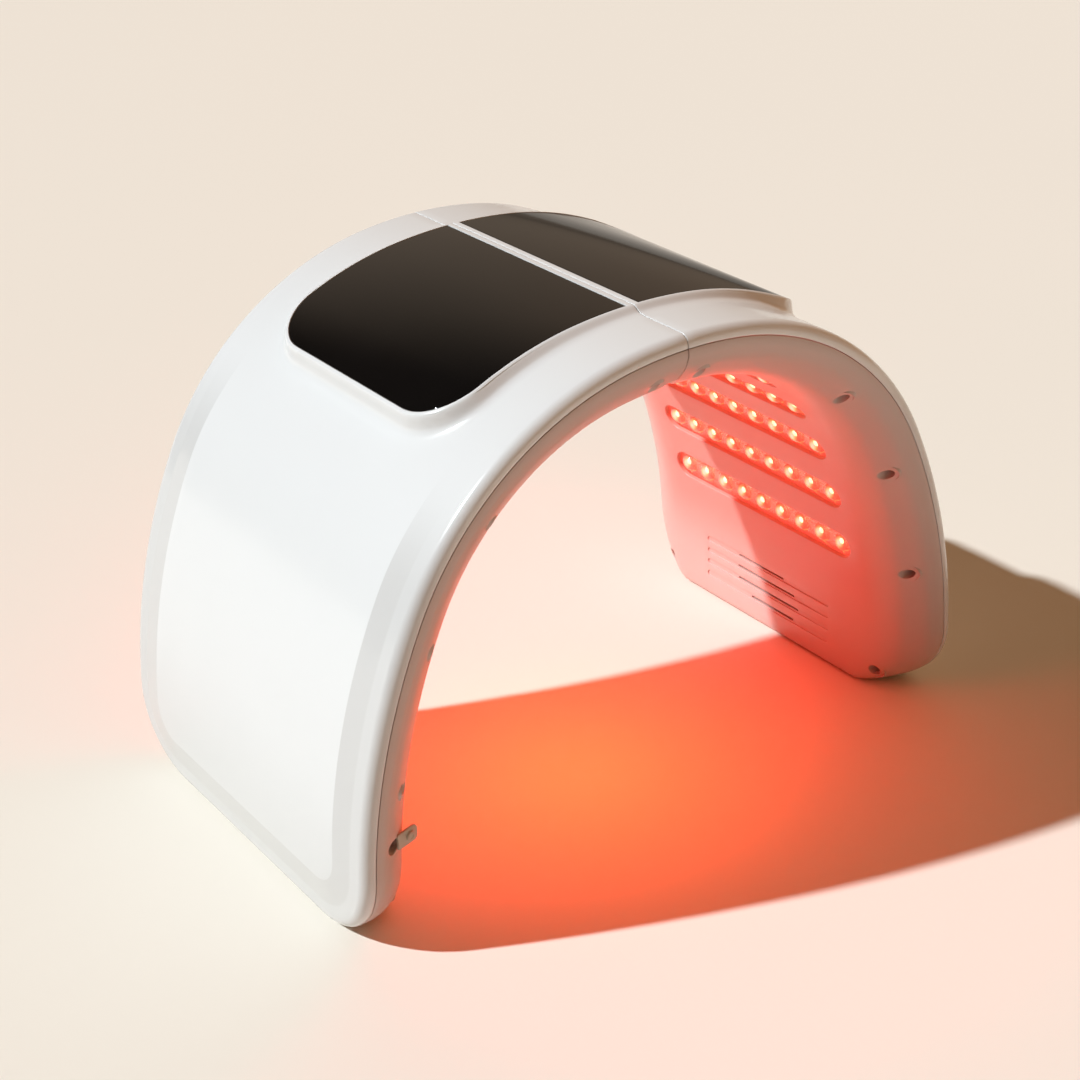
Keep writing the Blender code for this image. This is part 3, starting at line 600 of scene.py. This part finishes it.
def band_painted_shade(s, y):
    """Painted shade on the skin: most on the band and the rim outside it, and a little by the foot."""
    past, beside = max(s - ARCH_LENGTH + CORNER, 0.0), max(abs(y) - DEPTH / 2 + CORNER, 0.0)
    inset = CORNER - math.hypot(past, beside)
    low = 0.5 * smooth((s - 0.25) / 0.07)
    share = 0.85 if inset < BAND_OUTER else 1.0 if inset < BAND_INNER else low
    return share * smooth((s - FIELD_FADE[0]) / (FIELD_FADE[1] - FIELD_FADE[0]))


def shell_rings():
    """Insets and heights of the shell's rings from its parting edge up to the band."""
    lip = [(LIP_ROUND * inset, LIP_ROUND * rise - PARTING) for inset, rise in LIP]
    turns = [math.pi / 2 * step / EDGE_STEPS for step in range(EDGE_STEPS + 1)]
    edge = [(EDGE_ROUND * (1.0 - math.cos(a)), EDGE_ROUND * (math.sin(a) - 1.0)) for a in turns]
    return lip + edge


# Inset from the hump's outline, and the share of its height reached there.
HUMP_PROFILE = ((-0.0035, 0.0), (-0.0015, 0.008), (0.0, 0.035), (0.0015, 0.10), (0.0030, 0.23),
                (0.0042, 0.46), (0.0052, 0.70), (0.0061, 0.885), (0.0068, 0.973), (0.00725, 1.0))


def panel_line(inset):
    """The panel's outline, moved in."""
    return patch_line(PANEL_HALF_WIDTH, PANEL_END, PANEL_CORNER, PANEL_START + inset, inset)


def shell_mesh():
    """The outer skin with its band, its raised field and the hump with a pocket for the panel."""
    sheet = Sheet()
    rings = [sheet.line(half_line(inset, inset, SEAM_START), height) for inset, height in shell_rings()]
    soft = (-BAND_ROUND, -0.0003, 0.0003, BAND_ROUND)
    insets = [0.0085] + [BAND_OUTER + d for d in soft] + [0.0145, 0.0178, 0.021]
    for inset in insets + [BAND_INNER + d for d in soft]:
        share = band_share(inset)
        outline = half_line(inset, inset, SEAM_START)
        rings.append(sheet.line(outline, lambda s, y, share=share: share * field_height(s)))
    sheet.stack(rings)
    hump = []
    for inset, share in spline(HUMP_PROFILE, 3):
        outline = patch_line(HUMP_HALF_WIDTH, HUMP_END, HUMP_CORNER, SEAM_START, inset)
        hump.append(sheet.line(outline, lambda s, y, k=share: k * hump_top(s) + (1 - k) * field_height(s)))
    sheet.stack(hump)
    sheet.fill([rings[-1] + hump[0][::-1]], field_height)

    pocket = []
    for out, drop in ((0.00018, 0.0), (0.00005, -0.00005), (0.0, -0.00018),
                      (0.0, -PANEL_THICKNESS - POCKET_GAP)):
        outline = panel_line(-(POCKET_GAP + out))
        pocket.append(sheet.line(outline, lambda s, y, drop=drop: hump_top(s) + drop))
    sheet.stack(pocket, closed=True)
    sheet.fill([hump[-1], pocket[0]], hump_top, 0.004)
    sheet.strips(pocket[-1])

    profile = [ring[0] for ring in rings] + [line[0] for line in hump]
    profile += [line[-1] for line in hump[::-1]] + [ring[-1] for ring in rings[::-1]]
    seam_edge(sheet, profile, SEAM_ROUND)
    return applied("outer_shell", sheet.mesh("outer_shell", 1.0, painted_light=band_painted_shade), wall(SHELL_WALL))


def panel_mesh():
    """The dark panel: a slab that follows the hump, with a fine rounded edge."""
    sheet = Sheet()
    rings = []
    steps = [(0.0, -PANEL_THICKNESS)]
    for angle in (0.0, 0.4, 0.8, 1.2, math.pi / 2):
        drop = PANEL_ROUND * (math.sin(angle) - 1.0) - PANEL_SINK
        steps.append((PANEL_ROUND * (1 - math.cos(angle)), drop))
    for inset, drop in steps:
        rings.append(sheet.line(panel_line(inset), lambda s, y, drop=drop: hump_top(s) + drop))
    sheet.stack(rings, closed=True)
    sheet.strips(rings[0])
    sheet.strips(rings[-1])
    return sheet.mesh("panel")


def build_shells(finishes):
    shell, panel = shell_mesh(), panel_mesh()
    for side, turn in SIDES:
        add_piece(f"{side}_outer_shell_fine", shell, finishes["gloss_white"], f"{side}_half",
                  [f"{side}_outer_shell"], turn)
        node = "left_control_panel" if side == "left" else "right_trim_panel"
        add_piece(f"{node}_fine", panel, finishes["dark_gloss"], f"{side}_half", [node], turn)


# ---- inner cover --------------------------------------------------------------------------------
# Knots of the cover's flank: inset at the front and rear, inset at the foot, inset at the seam, and
# height. The run between them would dip below zero inset, and would start the groove too high.
FLANK = spline(((0.0, 0.0, 0.0, -0.0100), (0.0024, 0.0, 0.0, -0.0160), (0.0076, 0.0, 0.0, GROOVE_TOP),
                (0.0120, 0.0003, 0.49 * GROOVE_HALF_WIDTH, -0.0265),
                (0.0178, 0.0010, 0.80 * GROOVE_HALF_WIDTH, -0.0292),
                (0.0240, 0.0024, 0.94 * GROOVE_HALF_WIDTH, -0.0307),
                (0.0305, 0.0040, GROOVE_HALF_WIDTH, -THICKNESS)), 4)
FLANK[:, :3] = np.maximum(FLANK[:, :3], 0.0)
FLANK[FLANK[:, 3] > GROOVE_TOP - 1e-9, 2] = 0.0

# Extra inset at the foot in the fill's plane. It opens out the flat sole, which has no width there.
SOLE_SPREAD = 0.005
SOLE = np.minimum((FLANK[0, 3] - FLANK[:, 3]) / (FLANK[0, 3] - GROOVE_TOP), 1.0) * SOLE_SPREAD
FOOT_START = ARCH_LENGTH - CORNER
CUP_HOLE_RADIUS = 0.0014
INLET_STEPS = 40
JACK_CLEARANCE = 0.0001


def groove_height(s):
    """Height of the groove's sloped wall beside the seam."""
    deep = FLANK[:, 3] <= GROOVE_TOP + 1e-9
    return float(np.interp(s, SEAM_HALF_GAP + FLANK[deep, 2], FLANK[deep, 3]))


def flank_ring(s, y, feet):
    """Where a point lies among the flank's rings, a row number with a fraction, from their foot insets."""
    past = max(s - FOOT_START, 0.0)
    beside = max(abs(y) - DEPTH / 2 + CORNER, 0.0)
    reach = np.hypot(past / (CORNER - feet), beside / (CORNER - FLANK[:, 0]))
    outside = np.nonzero(reach >= 1.0)[0]
    if not len(outside):
        return len(FLANK) - 1.0
    row = outside[0]
    if row == 0:
        return 0.0
    return row - 1 + (1.0 - reach[row - 1]) / (reach[row] - reach[row - 1])


def between(values, ring):
    return float(np.interp(ring, range(len(values)), values))


def flank_height(s, y):
    """Height of the cover's face at a place in flat form."""
    ring = flank_ring(s, y, FLANK[:, 1])
    return max(between(FLANK[:, 3], ring), groove_height(s))


def sole_scale(ring):
    """Length near the foot on the face for each unit in the fill's plane."""
    foot = between(FLANK[:, 1], ring)
    return (CORNER - foot) / (CORNER - foot - between(SOLE, ring))


def flank_place(u, v):
    """The place on the cover's face of a point in the fill's plane."""
    ring = flank_ring(u, v, FLANK[:, 1] + SOLE)
    s = u if u < FOOT_START else FOOT_START + (u - FOOT_START) * sole_scale(ring)
    return s, v, max(between(FLANK[:, 3], ring), groove_height(s))


def flank_plane(place):
    """The point in the fill's plane of a place on the cover's face."""
    s, y, _ = place
    if s < FOOT_START:
        return s, y
    return FOOT_START + (s - FOOT_START) / sole_scale(flank_ring(s, y, FLANK[:, 1])), y


def cover_rims(sheet):
    """Adds each opening's rounded lip and wall to the sheet. Returns the loops that the face stops at."""
    loops = []
    for row in range(ROW_COUNT):
        place = row_place(row)
        lines = []
        for out, deep in ((0.0006, 0.0), (0.00035, 0.00006), (0.00010, 0.00030), (0.0, 0.0006),
                          (0.0, COVER_WALL)):
            outline = pill_line(place, 0.0, SLOT_HALF_WIDTH + out, SLOT_HALF_LENGTH + out, 20)
            lines.append(sheet.line(outline, deep - THICKNESS))
        sheet.stack(lines, closed=True)
        loops.append(lines[0])
    for from_foot, start, end in VENTS:
        place = ARCH_LENGTH - from_foot
        lines = []
        for out, deep in ((0.00035, 0.0), (0.00010, 0.00008), (0.0, 0.00030), (-0.00012, 0.00055),
                          (-0.00035, VENT_DEPTH)):
            outline = pill_line(place, 0.0, VENT_GROOVE_HALF_WIDTH + out, VENT_HALF_LENGTH + out, 8)
            lines.append(sheet.line(outline, deep - THICKNESS))
        sheet.stack(lines, closed=True)
        loops.append(lines[0])
        slot = []
        for deep in (VENT_DEPTH, COVER_WALL):
            outline = pill_line(place, (start + end) / 2, VENT_SLOT_HALF_WIDTH, (end - start) / 2, 8)
            slot.append(sheet.line(outline, deep - THICKNESS))
        sheet.stack(slot, closed=True)
        sheet.fill([lines[-1], slot[0]], lambda s, y: VENT_DEPTH - THICKNESS, 0.01)
    for s, y in [(s, side * y) for s, y in SCREWS for side in (-1, 1)]:
        lines = []
        for out, deep in ((0.0003, 0.0), (0.0001, 0.00012), (0.0, 0.0004)):
            lines.append(sheet.line(circle_line(s, y, COUNTERBORE_RADIUS + out),
                                    lambda a, b, deep=deep: flank_height(a, b) + deep))
        for radius in (COUNTERBORE_RADIUS, CUP_HOLE_RADIUS):
            lines.append(sheet.line(circle_line(s, y, radius), CUP_SEAT))
        sheet.stack(lines, closed=True)
        loops.append(lines[0])
    return loops


def window(sheet, middle):
    """A hinge's window in the seam edge. Returns its line for the fill and its part of the seam profile."""
    run = [SEAM_START, 0.0020, 0.0036, 0.0052, WINDOW_REACH]
    across = np.linspace(middle + WINDOW_HALF_LENGTH, middle - WINDOW_HALF_LENGTH, 7)
    path = [(s, across[0]) for s in run] + [(WINDOW_REACH, y) for y in across[1:-1]]
    path += [(s, across[-1]) for s in run[::-1]]
    lip, roof = sheet.line(path, flank_height), sheet.line(path, WINDOW_ROOF)
    sheet.bridge(lip, roof)
    sheet.faces.append(tuple(roof))
    return lip, [lip[0], roof[0], roof[-1], lip[-1]]


def side_inset(height):
    """How far in from the front or rear edge the cover's flank reaches a height."""
    return float(np.interp(-height, -FLANK[:, 3], FLANK[:, 0]))


def inlet_rim(sheet):
    """The power inlet's hole through the flank: a rounded lip and a straight wall along y."""
    lines = []
    for grow, deep in ((0.0004, 0.0), (0.00015, 0.0001), (0.0, 0.0005), (0.0, None)):
        first = len(sheet.places)
        for across, up in circle_line(0.0, 0.0, JACK_HOLE_RADIUS + grow, INLET_STEPS):
            h = JACK_HEIGHT + up
            inset = JACK_RECESS + JACK_CLEARANCE if deep is None else side_inset(h) + deep
            sheet.places.append((JACK_S + across, DEPTH / 2 - inset, h))
        lines.append(list(range(first, len(sheet.places))))
    sheet.stack(lines, closed=True)
    return lines[0]


def face_painted_red_light(s, y):
    """Painted red light on the cover's face: full round the light rows, fading beyond them."""
    return smooth((0.0905 - abs(y)) / 0.020) * smooth((0.318 - s) / 0.050)


def cover_mesh(name, with_inlet):
    """The inner cover: a rolled flank on three sides and an even face with all its openings."""
    sheet = Sheet()
    edge = [(LIP_ROUND * inset, -PARTING - GAP - LIP_ROUND * fall) for inset, fall in LIP]
    edge += [(0.0, -0.0082), (0.0, FLANK[0][3])]
    rings = [sheet.line(half_line(inset, inset, SEAM_START), height) for inset, height in edge]
    sheet.stack(rings)
    extra, beside = [], []
    for (side, foot, seam, _), sole in zip(FLANK[1:], SOLE[1:]):
        extra += half_line(side, foot + sole, max(SEAM_HALF_GAP + seam, SEAM_START))[1:-1]
        if seam == 0.0:
            beside.append(DEPTH / 2 - side)
        else:
            extra += [(SEAM_HALF_GAP + seam, 0.01 * i) for i in range(-7, 8)]
    rear = sheet.line([(SEAM_START, y) for y in beside + [0.085, 0.080]], flank_height)
    middle = sheet.line([(SEAM_START, 0.01 * i) for i in range(4, -5, -1)], flank_height)
    front = sheet.line([(SEAM_START, -y) for y in [0.080, 0.085] + beside[::-1]], flank_height)
    rear_lip, rear_notch = window(sheet, HINGE_Y)
    front_lip, front_notch = window(sheet, -HINGE_Y)
    loops = cover_rims(sheet)
    if with_inlet:
        loops.append(inlet_rim(sheet))
    face = [rings[-1] + rear + rear_lip + middle + front_lip + front] + loops
    sheet.fill(face, flank_place, extra=extra, flatten=flank_plane)
    seam_line = rear + rear_notch + middle + front_notch + front
    profile = [ring[0] for ring in rings] + seam_line[::-1] + [ring[-1] for ring in rings[::-1]]
    seam_edge(sheet, profile, SEAM_ROUND)
    made = applied(name, sheet.mesh(name, -1.0, painted_light=face_painted_red_light), wall(COVER_WALL))
    # At the sole's sharp corners the wall can fold down through the floor, so it is turned back up.
    for vertex in made.vertices:
        vertex.co.z = abs(vertex.co.z)
    return made


def build_covers(finishes):
    for side, turn in SIDES:
        cover = cover_mesh(f"{side}_inner_cover_fine", side == "left")
        add_piece(cover.name, cover, finishes["satin_white"], f"{side}_half",
                  [f"{side}_inner_cover"], turn)


# ---- lights -------------------------------------------------------------------------------------
def row_place(row):
    """The length from the seam at which a row lies."""
    return ROW_FIRST + ROW_PITCH * row


def light_place(light):
    """A light's place across its row."""
    return (light - (LIGHTS_PER_ROW - 1) / 2) * LIGHT_PITCH


# A light's heart beside its dome's middle, its half sizes, and how far it lies inside the dome.
HEART = Vector((-0.0018, -0.0008))
CORE_SIZE = (0.0019, 0.0015, 0.0006)
CORE_DEPTH = 0.0010

# For each row, the gaps between lights that hold a chip. A chip lies beside the row, by the crown.
CHIPS = ((2, 5), (1, 2, 3, 4, 5), (0, 1), (1, 2, 3, 4), (0, 1, 6), (1, 2, 3, 4), (0, 1))
CHIP_SIZE = (0.0018, 0.0018, 0.0008)
CHIP_ASIDE = 0.0042


def lens_mesh(row):
    """One clear strip with its nine domes, and its glow attribute."""
    sheet = Sheet()
    place = row_place(row)
    half_s, half_y = SLOT_HALF_WIDTH + LENS_MARGIN, SLOT_HALF_LENGTH + LENS_MARGIN
    rim = [sheet.line(pill_line(place, 0.0, half_s - inset, half_y - inset, 16), LENS_FACE + deep)
           for inset, deep in ((0.0004, 0.0), (0.0, 0.0004), (0.0, LENS_PLATE))]
    sheet.stack(rim, closed=True)
    sheet.fill([rim[-1]], lambda s, y: LENS_FACE + LENS_PLATE, 0.006)
    loops = []
    for light in range(LIGHTS_PER_ROW):
        y = light_place(light)
        lines = [sheet.line(circle_line(place, y, DOME_RADIUS + 0.0005), LENS_FACE),
                 sheet.line(circle_line(place, y, DOME_RADIUS + 0.0001), LENS_FACE - 0.0001)]
        for angle in (0.12, 0.3, 0.5, 0.7, 0.9, 1.1, 1.28, 1.43):
            line = circle_line(place, y, DOME_RADIUS * math.cos(angle))
            lines.append(sheet.line(line, LENS_FACE - DOME_HEIGHT * math.sin(angle)))
        sheet.stack(lines, closed=True)
        sheet.faces.append(tuple(lines[-1]))
        loops.append(lines[0])
    sheet.fill([rim[0]] + loops, lambda s, y: LENS_FACE, 0.004)
    return sheet.mesh(f"lens_strip_{row + 1}")


def glow_at(foot_way, across, height):
    """How lit a point of a lens strip is, from its place beside a dome's middle."""
    out = math.hypot(foot_way, across)
    if height > -0.00005 or out > DOME_RADIUS:
        return 0.10 + 0.16 * smooth(1.0 - (out - DOME_RADIUS) / 0.0030)
    heart = math.hypot((foot_way - HEART.x) / 0.0033, (across - HEART.y) / 0.0029)
    rim = smooth((out - 0.0034) / 0.0014) * smooth((foot_way / max(out, 1e-6) - 0.05) / 0.7)
    edge = 0.16 * smooth((out - 0.0044) / 0.0006)
    return max(0.34 - edge + 0.66 * max(0.0, 1.0 - heart) ** 0.6, 0.64 * rim)


def add_glow(mesh, row):
    """Writes how lit each point of a strip is into its glow attribute."""
    frames = [seat(row_place(row), light_place(light), LENS_FACE) for light in range(LIGHTS_PER_ROW)]
    glow = mesh.attributes.new("glow", "FLOAT", "POINT")
    for vertex, value in zip(mesh.vertices, glow.data):
        near = min(frames, key=lambda place: (vertex.co - place.translation).length)
        value.value = glow_at(*(near.inverted() @ vertex.co))


def core_mesh(row):
    """The lit hearts of one row: small ellipsoids under the domes."""
    shape = bmesh.new()
    for light in range(LIGHTS_PER_ROW):
        place = seat(row_place(row) + HEART.x, light_place(light) + HEART.y, LENS_FACE - CORE_DEPTH)
        bmesh.ops.create_uvsphere(shape, u_segments=16, v_segments=10, radius=1.0,
                                  matrix=place @ Matrix.Diagonal((*CORE_SIZE, 1.0)))
    return as_mesh(f"light_cores_{row + 1}", shape)


def build_lights(finishes):
    for row in range(ROW_COUNT):
        lens, cores = lens_mesh(row), core_mesh(row)
        add_glow(lens, row)
        for side, turn in SIDES:
            node = f"{side}_lens_strip_{row + 1}"
            add_piece(f"{node}_fine", lens, finishes["clear_lens"], f"{side}_half",
                      [node], turn, 50.0)
            add_piece(f"{side}_light_cores_{row + 1}", cores, finishes["light_core"], f"{side}_half",
                      (), turn)


def chip_mesh():
    """Small chips on the light board, on the crown's side between some of the lights."""
    shape = bmesh.new()
    for row, gaps in enumerate(CHIPS):
        for gap in gaps:
            y = light_place(LIGHTS_PER_ROW - 1.5 - gap)
            place = seat(row_place(row) - CHIP_ASIDE, y, BOARD_HEIGHT - CHIP_SIZE[2] / 2)
            bmesh.ops.create_cube(shape, size=1.0, matrix=place @ Matrix.Diagonal((*CHIP_SIZE, 1.0)))
    return as_mesh("light_chips", shape)


def build_chips(finishes):
    chips = chip_mesh()
    for side, turn in SIDES:
        add_piece(f"{side}_light_chips", chips, finishes["black_moulding"], f"{side}_half",
                  (), turn)


# ---- inlet flap ---------------------------------------------------------------------------------
FLAP_TIP_ROUND = 0.0024
FLAP_HEEL_ROUND = 0.0008
FLAP_CORNER_STEPS = 6


def flap_outline(inset):
    """The flap's outline in its own x and z, rounder at the free end."""
    corners = ((FLAP_LENGTH - FLAP_TIP_ROUND, 1, FLAP_TIP_ROUND),
               (FLAP_LENGTH - FLAP_TIP_ROUND, -1, FLAP_TIP_ROUND),
               (-FLAP_HEEL + FLAP_HEEL_ROUND, -1, FLAP_HEEL_ROUND),
               (-FLAP_HEEL + FLAP_HEEL_ROUND, 1, FLAP_HEEL_ROUND))
    line = []
    for turn, (x, side, radius) in enumerate(corners):
        for step in range(FLAP_CORNER_STEPS + 1):
            angle = math.pi / 2 * (1 - turn - step / FLAP_CORNER_STEPS)
            reach = radius - inset
            line.append((x + reach * math.cos(angle),
                         side * (FLAP_HALF_WIDTH - radius) + reach * math.sin(angle)))
    return line


def build_flap(finishes):
    """The rubber flap: a soft-edged tongue with its plug, standing open."""
    sheet = Sheet()
    half = FLAP_HALF_THICKNESS
    edge = ((0.0004, half), (0.0001, 0.83 * half), (0.0, 0.45 * half))
    rings = [sheet.line(flap_outline(inset), y) for inset, y in edge]
    rings += [sheet.line(flap_outline(inset), -y) for inset, y in edge[::-1]]
    sheet.stack(rings, closed=True)
    sheet.fill([rings[0]], lambda x, z: half, 0.003)
    plug = [sheet.line(circle_line(PLUG_X, 0.0, radius), -half - height) for radius, height in
            ((PLUG_RADIUS + 0.0003, 0.0), (PLUG_RADIUS + 0.00008, 0.00008), (PLUG_RADIUS, 0.0003),
             (PLUG_RADIUS, 0.0009), (PLUG_RADIUS - 0.00012, 0.00108), (PLUG_RADIUS - 0.0004, 0.0012))]
    dish = [sheet.line(circle_line(PLUG_X, 0.0, radius), -half - height) for radius, height in
            ((0.0012, 0.0012), (0.0009, 0.0009))]
    sheet.stack(plug + dish, closed=True)
    sheet.faces.append(tuple(dish[-1]))
    sheet.fill([rings[-1], plug[0]], lambda x, z: -half, 0.003)
    hinge = next(Vector(joint["pos_m"]) for joint in frame["joints"] if joint["name"] == "flap_turn")
    place = Matrix.Translation(hinge) @ Matrix.Rotation(FLAP_OPEN_TURN, 4, "Z")
    mesh = sheet.mesh("jack_flap_fine", 0.0, lambda x, z, y: place @ Vector((x, y, z)))
    add_piece("jack_flap_fine", mesh, finishes["grey_rubber"], "flap", ["jack_flap"])


# ---- carried-over nodes -------------------------------------------------------------------------
def finish_nodes(finishes):
    """Gives every CAD node that is still shown the finish its record slot names."""
    slots = {entry["node"]: entry["material_slot"] for entry in frame["record"]["subparts"]}
    for name, node in frame["nodes"].items():
        node.data.materials.clear()
        node.data.materials.append(finishes[slots[name]])
        node.data.shade_smooth()
        node.data.set_sharp_from_angle(angle=math.radians(30))


# ---- studio -------------------------------------------------------------------------------------
FLOOR_HALF_SIZE = 9.0


def add_floor():
    shape = bmesh.new()
    bmesh.ops.create_grid(shape, x_segments=8, y_segments=8, size=FLOOR_HALF_SIZE)
    floor = add_object("floor", as_mesh("floor", shape))
    cream = Finish("floor_cream", (0.855, 0.796, 0.705), 0.75, Specular_IOR_Level=0.25)
    floor.data.materials.append(cream.mottle(0.8, 0.006).bump(220.0, 0.00002).done())


# The room's own light, and its soft bright areas: axis, outer and inner angle, colour.
ROOM = (0.040, 0.025, 0.015)
GLOWS = (
    ((0.62, 0.75, 0.15), 55.0, 15.0, (0.42, 0.33, 0.25)),
    ((0.80, -0.55, 0.45), 90.0, 10.0, (0.42, 0.20, 0.08)),
)
ROW_LIGHT = (1.0, 0.015, 0.004)
ROW_LIGHT_GAP = 0.002
CROWN_LIGHT = (1.0, 0.115, 0.012)


def add_lamp(name, kind, energy, colour, matrix, **settings):
    data = bpy.data.lights.new(name, kind)
    data.energy = energy
    data.color = colour
    for key, value in settings.items():
        setattr(data, key, value)
    return add_object(name, data, matrix)


def add_lamps():
    """A hard key from the left rear, the rows' red light, and a warm glow under the crown."""
    beam = Vector((0.92, -0.515, -1.0)).to_track_quat("-Z", "Y").to_matrix().to_4x4()
    add_lamp("key", "SUN", 4.05, (0.877, 0.951, 1.0), beam, angle=math.radians(1.6))
    for row in range(ROW_COUNT):
        place = seat(row_place(row), 0.0, LENS_FACE - DOME_HEIGHT - ROW_LIGHT_GAP)
        energy = 0.018 if row < 3 else 0.045
        for side, turn in SIDES:
            lamp = add_lamp(f"{side}_row_{row + 1}_light", "AREA", energy, ROW_LIGHT, turn @ place,
                            shape="RECTANGLE", size=1.4 * SLOT_HALF_WIDTH, size_y=1.6 * SLOT_HALF_LENGTH,
                            spread=math.radians(175.0))
            lamp.visible_camera = False
            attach(lamp, f"{side}_half")
    under_crown = Matrix.Translation((-0.02, -0.045, 0.180))
    warm = add_lamp("crown_glow", "AREA", 0.075, CROWN_LIGHT, under_crown,
                    shape="DISK", size=0.06, spread=math.radians(75.0))
    warm.visible_camera = False
    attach(warm, "left_half")


def add_world():
    """A dim warm room with soft bright areas, each round a direction."""
    world = bpy.data.worlds.new("studio")
    bpy.context.scene.world = world
    world.use_nodes = True
    nodes, links = world.node_tree.nodes, world.node_tree.links
    direction = nodes.new("ShaderNodeTexCoord").outputs["Generated"]
    total = nodes.new("ShaderNodeRGB").outputs[0]
    total.default_value = (*ROOM, 1.0)
    for axis, wide, narrow, colour in GLOWS:
        dot = nodes.new("ShaderNodeVectorMath")
        dot.operation = "DOT_PRODUCT"
        dot.inputs[1].default_value = Vector(axis).normalized()
        links.new(direction, dot.inputs[0])
        spread = nodes.new("ShaderNodeMapRange")
        spread.interpolation_type = "SMOOTHSTEP"
        spread.inputs["From Min"].default_value = math.cos(math.radians(wide))
        spread.inputs["From Max"].default_value = math.cos(math.radians(narrow))
        links.new(dot.outputs["Value"], spread.inputs["Value"])
        glow = nodes.new("ShaderNodeVectorMath")
        glow.operation = "SCALE"
        glow.inputs[0].default_value = colour
        links.new(spread.outputs["Result"], glow.inputs["Scale"])
        add = nodes.new("ShaderNodeVectorMath")
        links.new(total, add.inputs[0])
        links.new(glow.outputs["Vector"], add.inputs[1])
        total = add.outputs["Vector"]
    links.new(total, nodes["Background"].inputs["Color"])


# The camera's place, its azimuth, elevation and roll in degrees, and its focal length in millimetres.
CAMERA_PLACE = (-0.5068, -0.7130, 0.5661)
CAMERA_TURN = (-35.1876, 27.8847, -1.8723)
CAMERA_LENS = 67.717


def add_camera():
    """The view of the reference: from the front left, a little above."""
    azimuth, elevation, roll = (math.radians(angle) for angle in CAMERA_TURN)
    forward = Vector((-math.sin(azimuth) * math.cos(elevation), math.cos(azimuth) * math.cos(elevation),
                      -math.sin(elevation)))
    level = forward.cross(Vector((0, 0, 1))).normalized()
    upright = level.cross(forward)
    right = math.cos(roll) * level + math.sin(roll) * upright
    up = -math.sin(roll) * level + math.cos(roll) * upright
    matrix = Matrix((right, up, -forward)).transposed().to_4x4()
    matrix.translation = CAMERA_PLACE
    data = bpy.data.cameras.new("camera")
    data.sensor_width = 36.0
    data.lens = CAMERA_LENS
    data.clip_start = 0.01
    data.clip_end = 100.0
    bpy.context.scene.camera = add_object("camera", data, matrix)


# ---- build --------------------------------------------------------------------------------------
finishes = make_materials()
finish_nodes(finishes)
build_shells(finishes)
build_covers(finishes)
build_lights(finishes)
build_chips(finishes)
build_flap(finishes)
add_floor()
add_lamps()
add_world()
add_camera()
bpy.context.scene.view_settings.view_transform = "Standard"
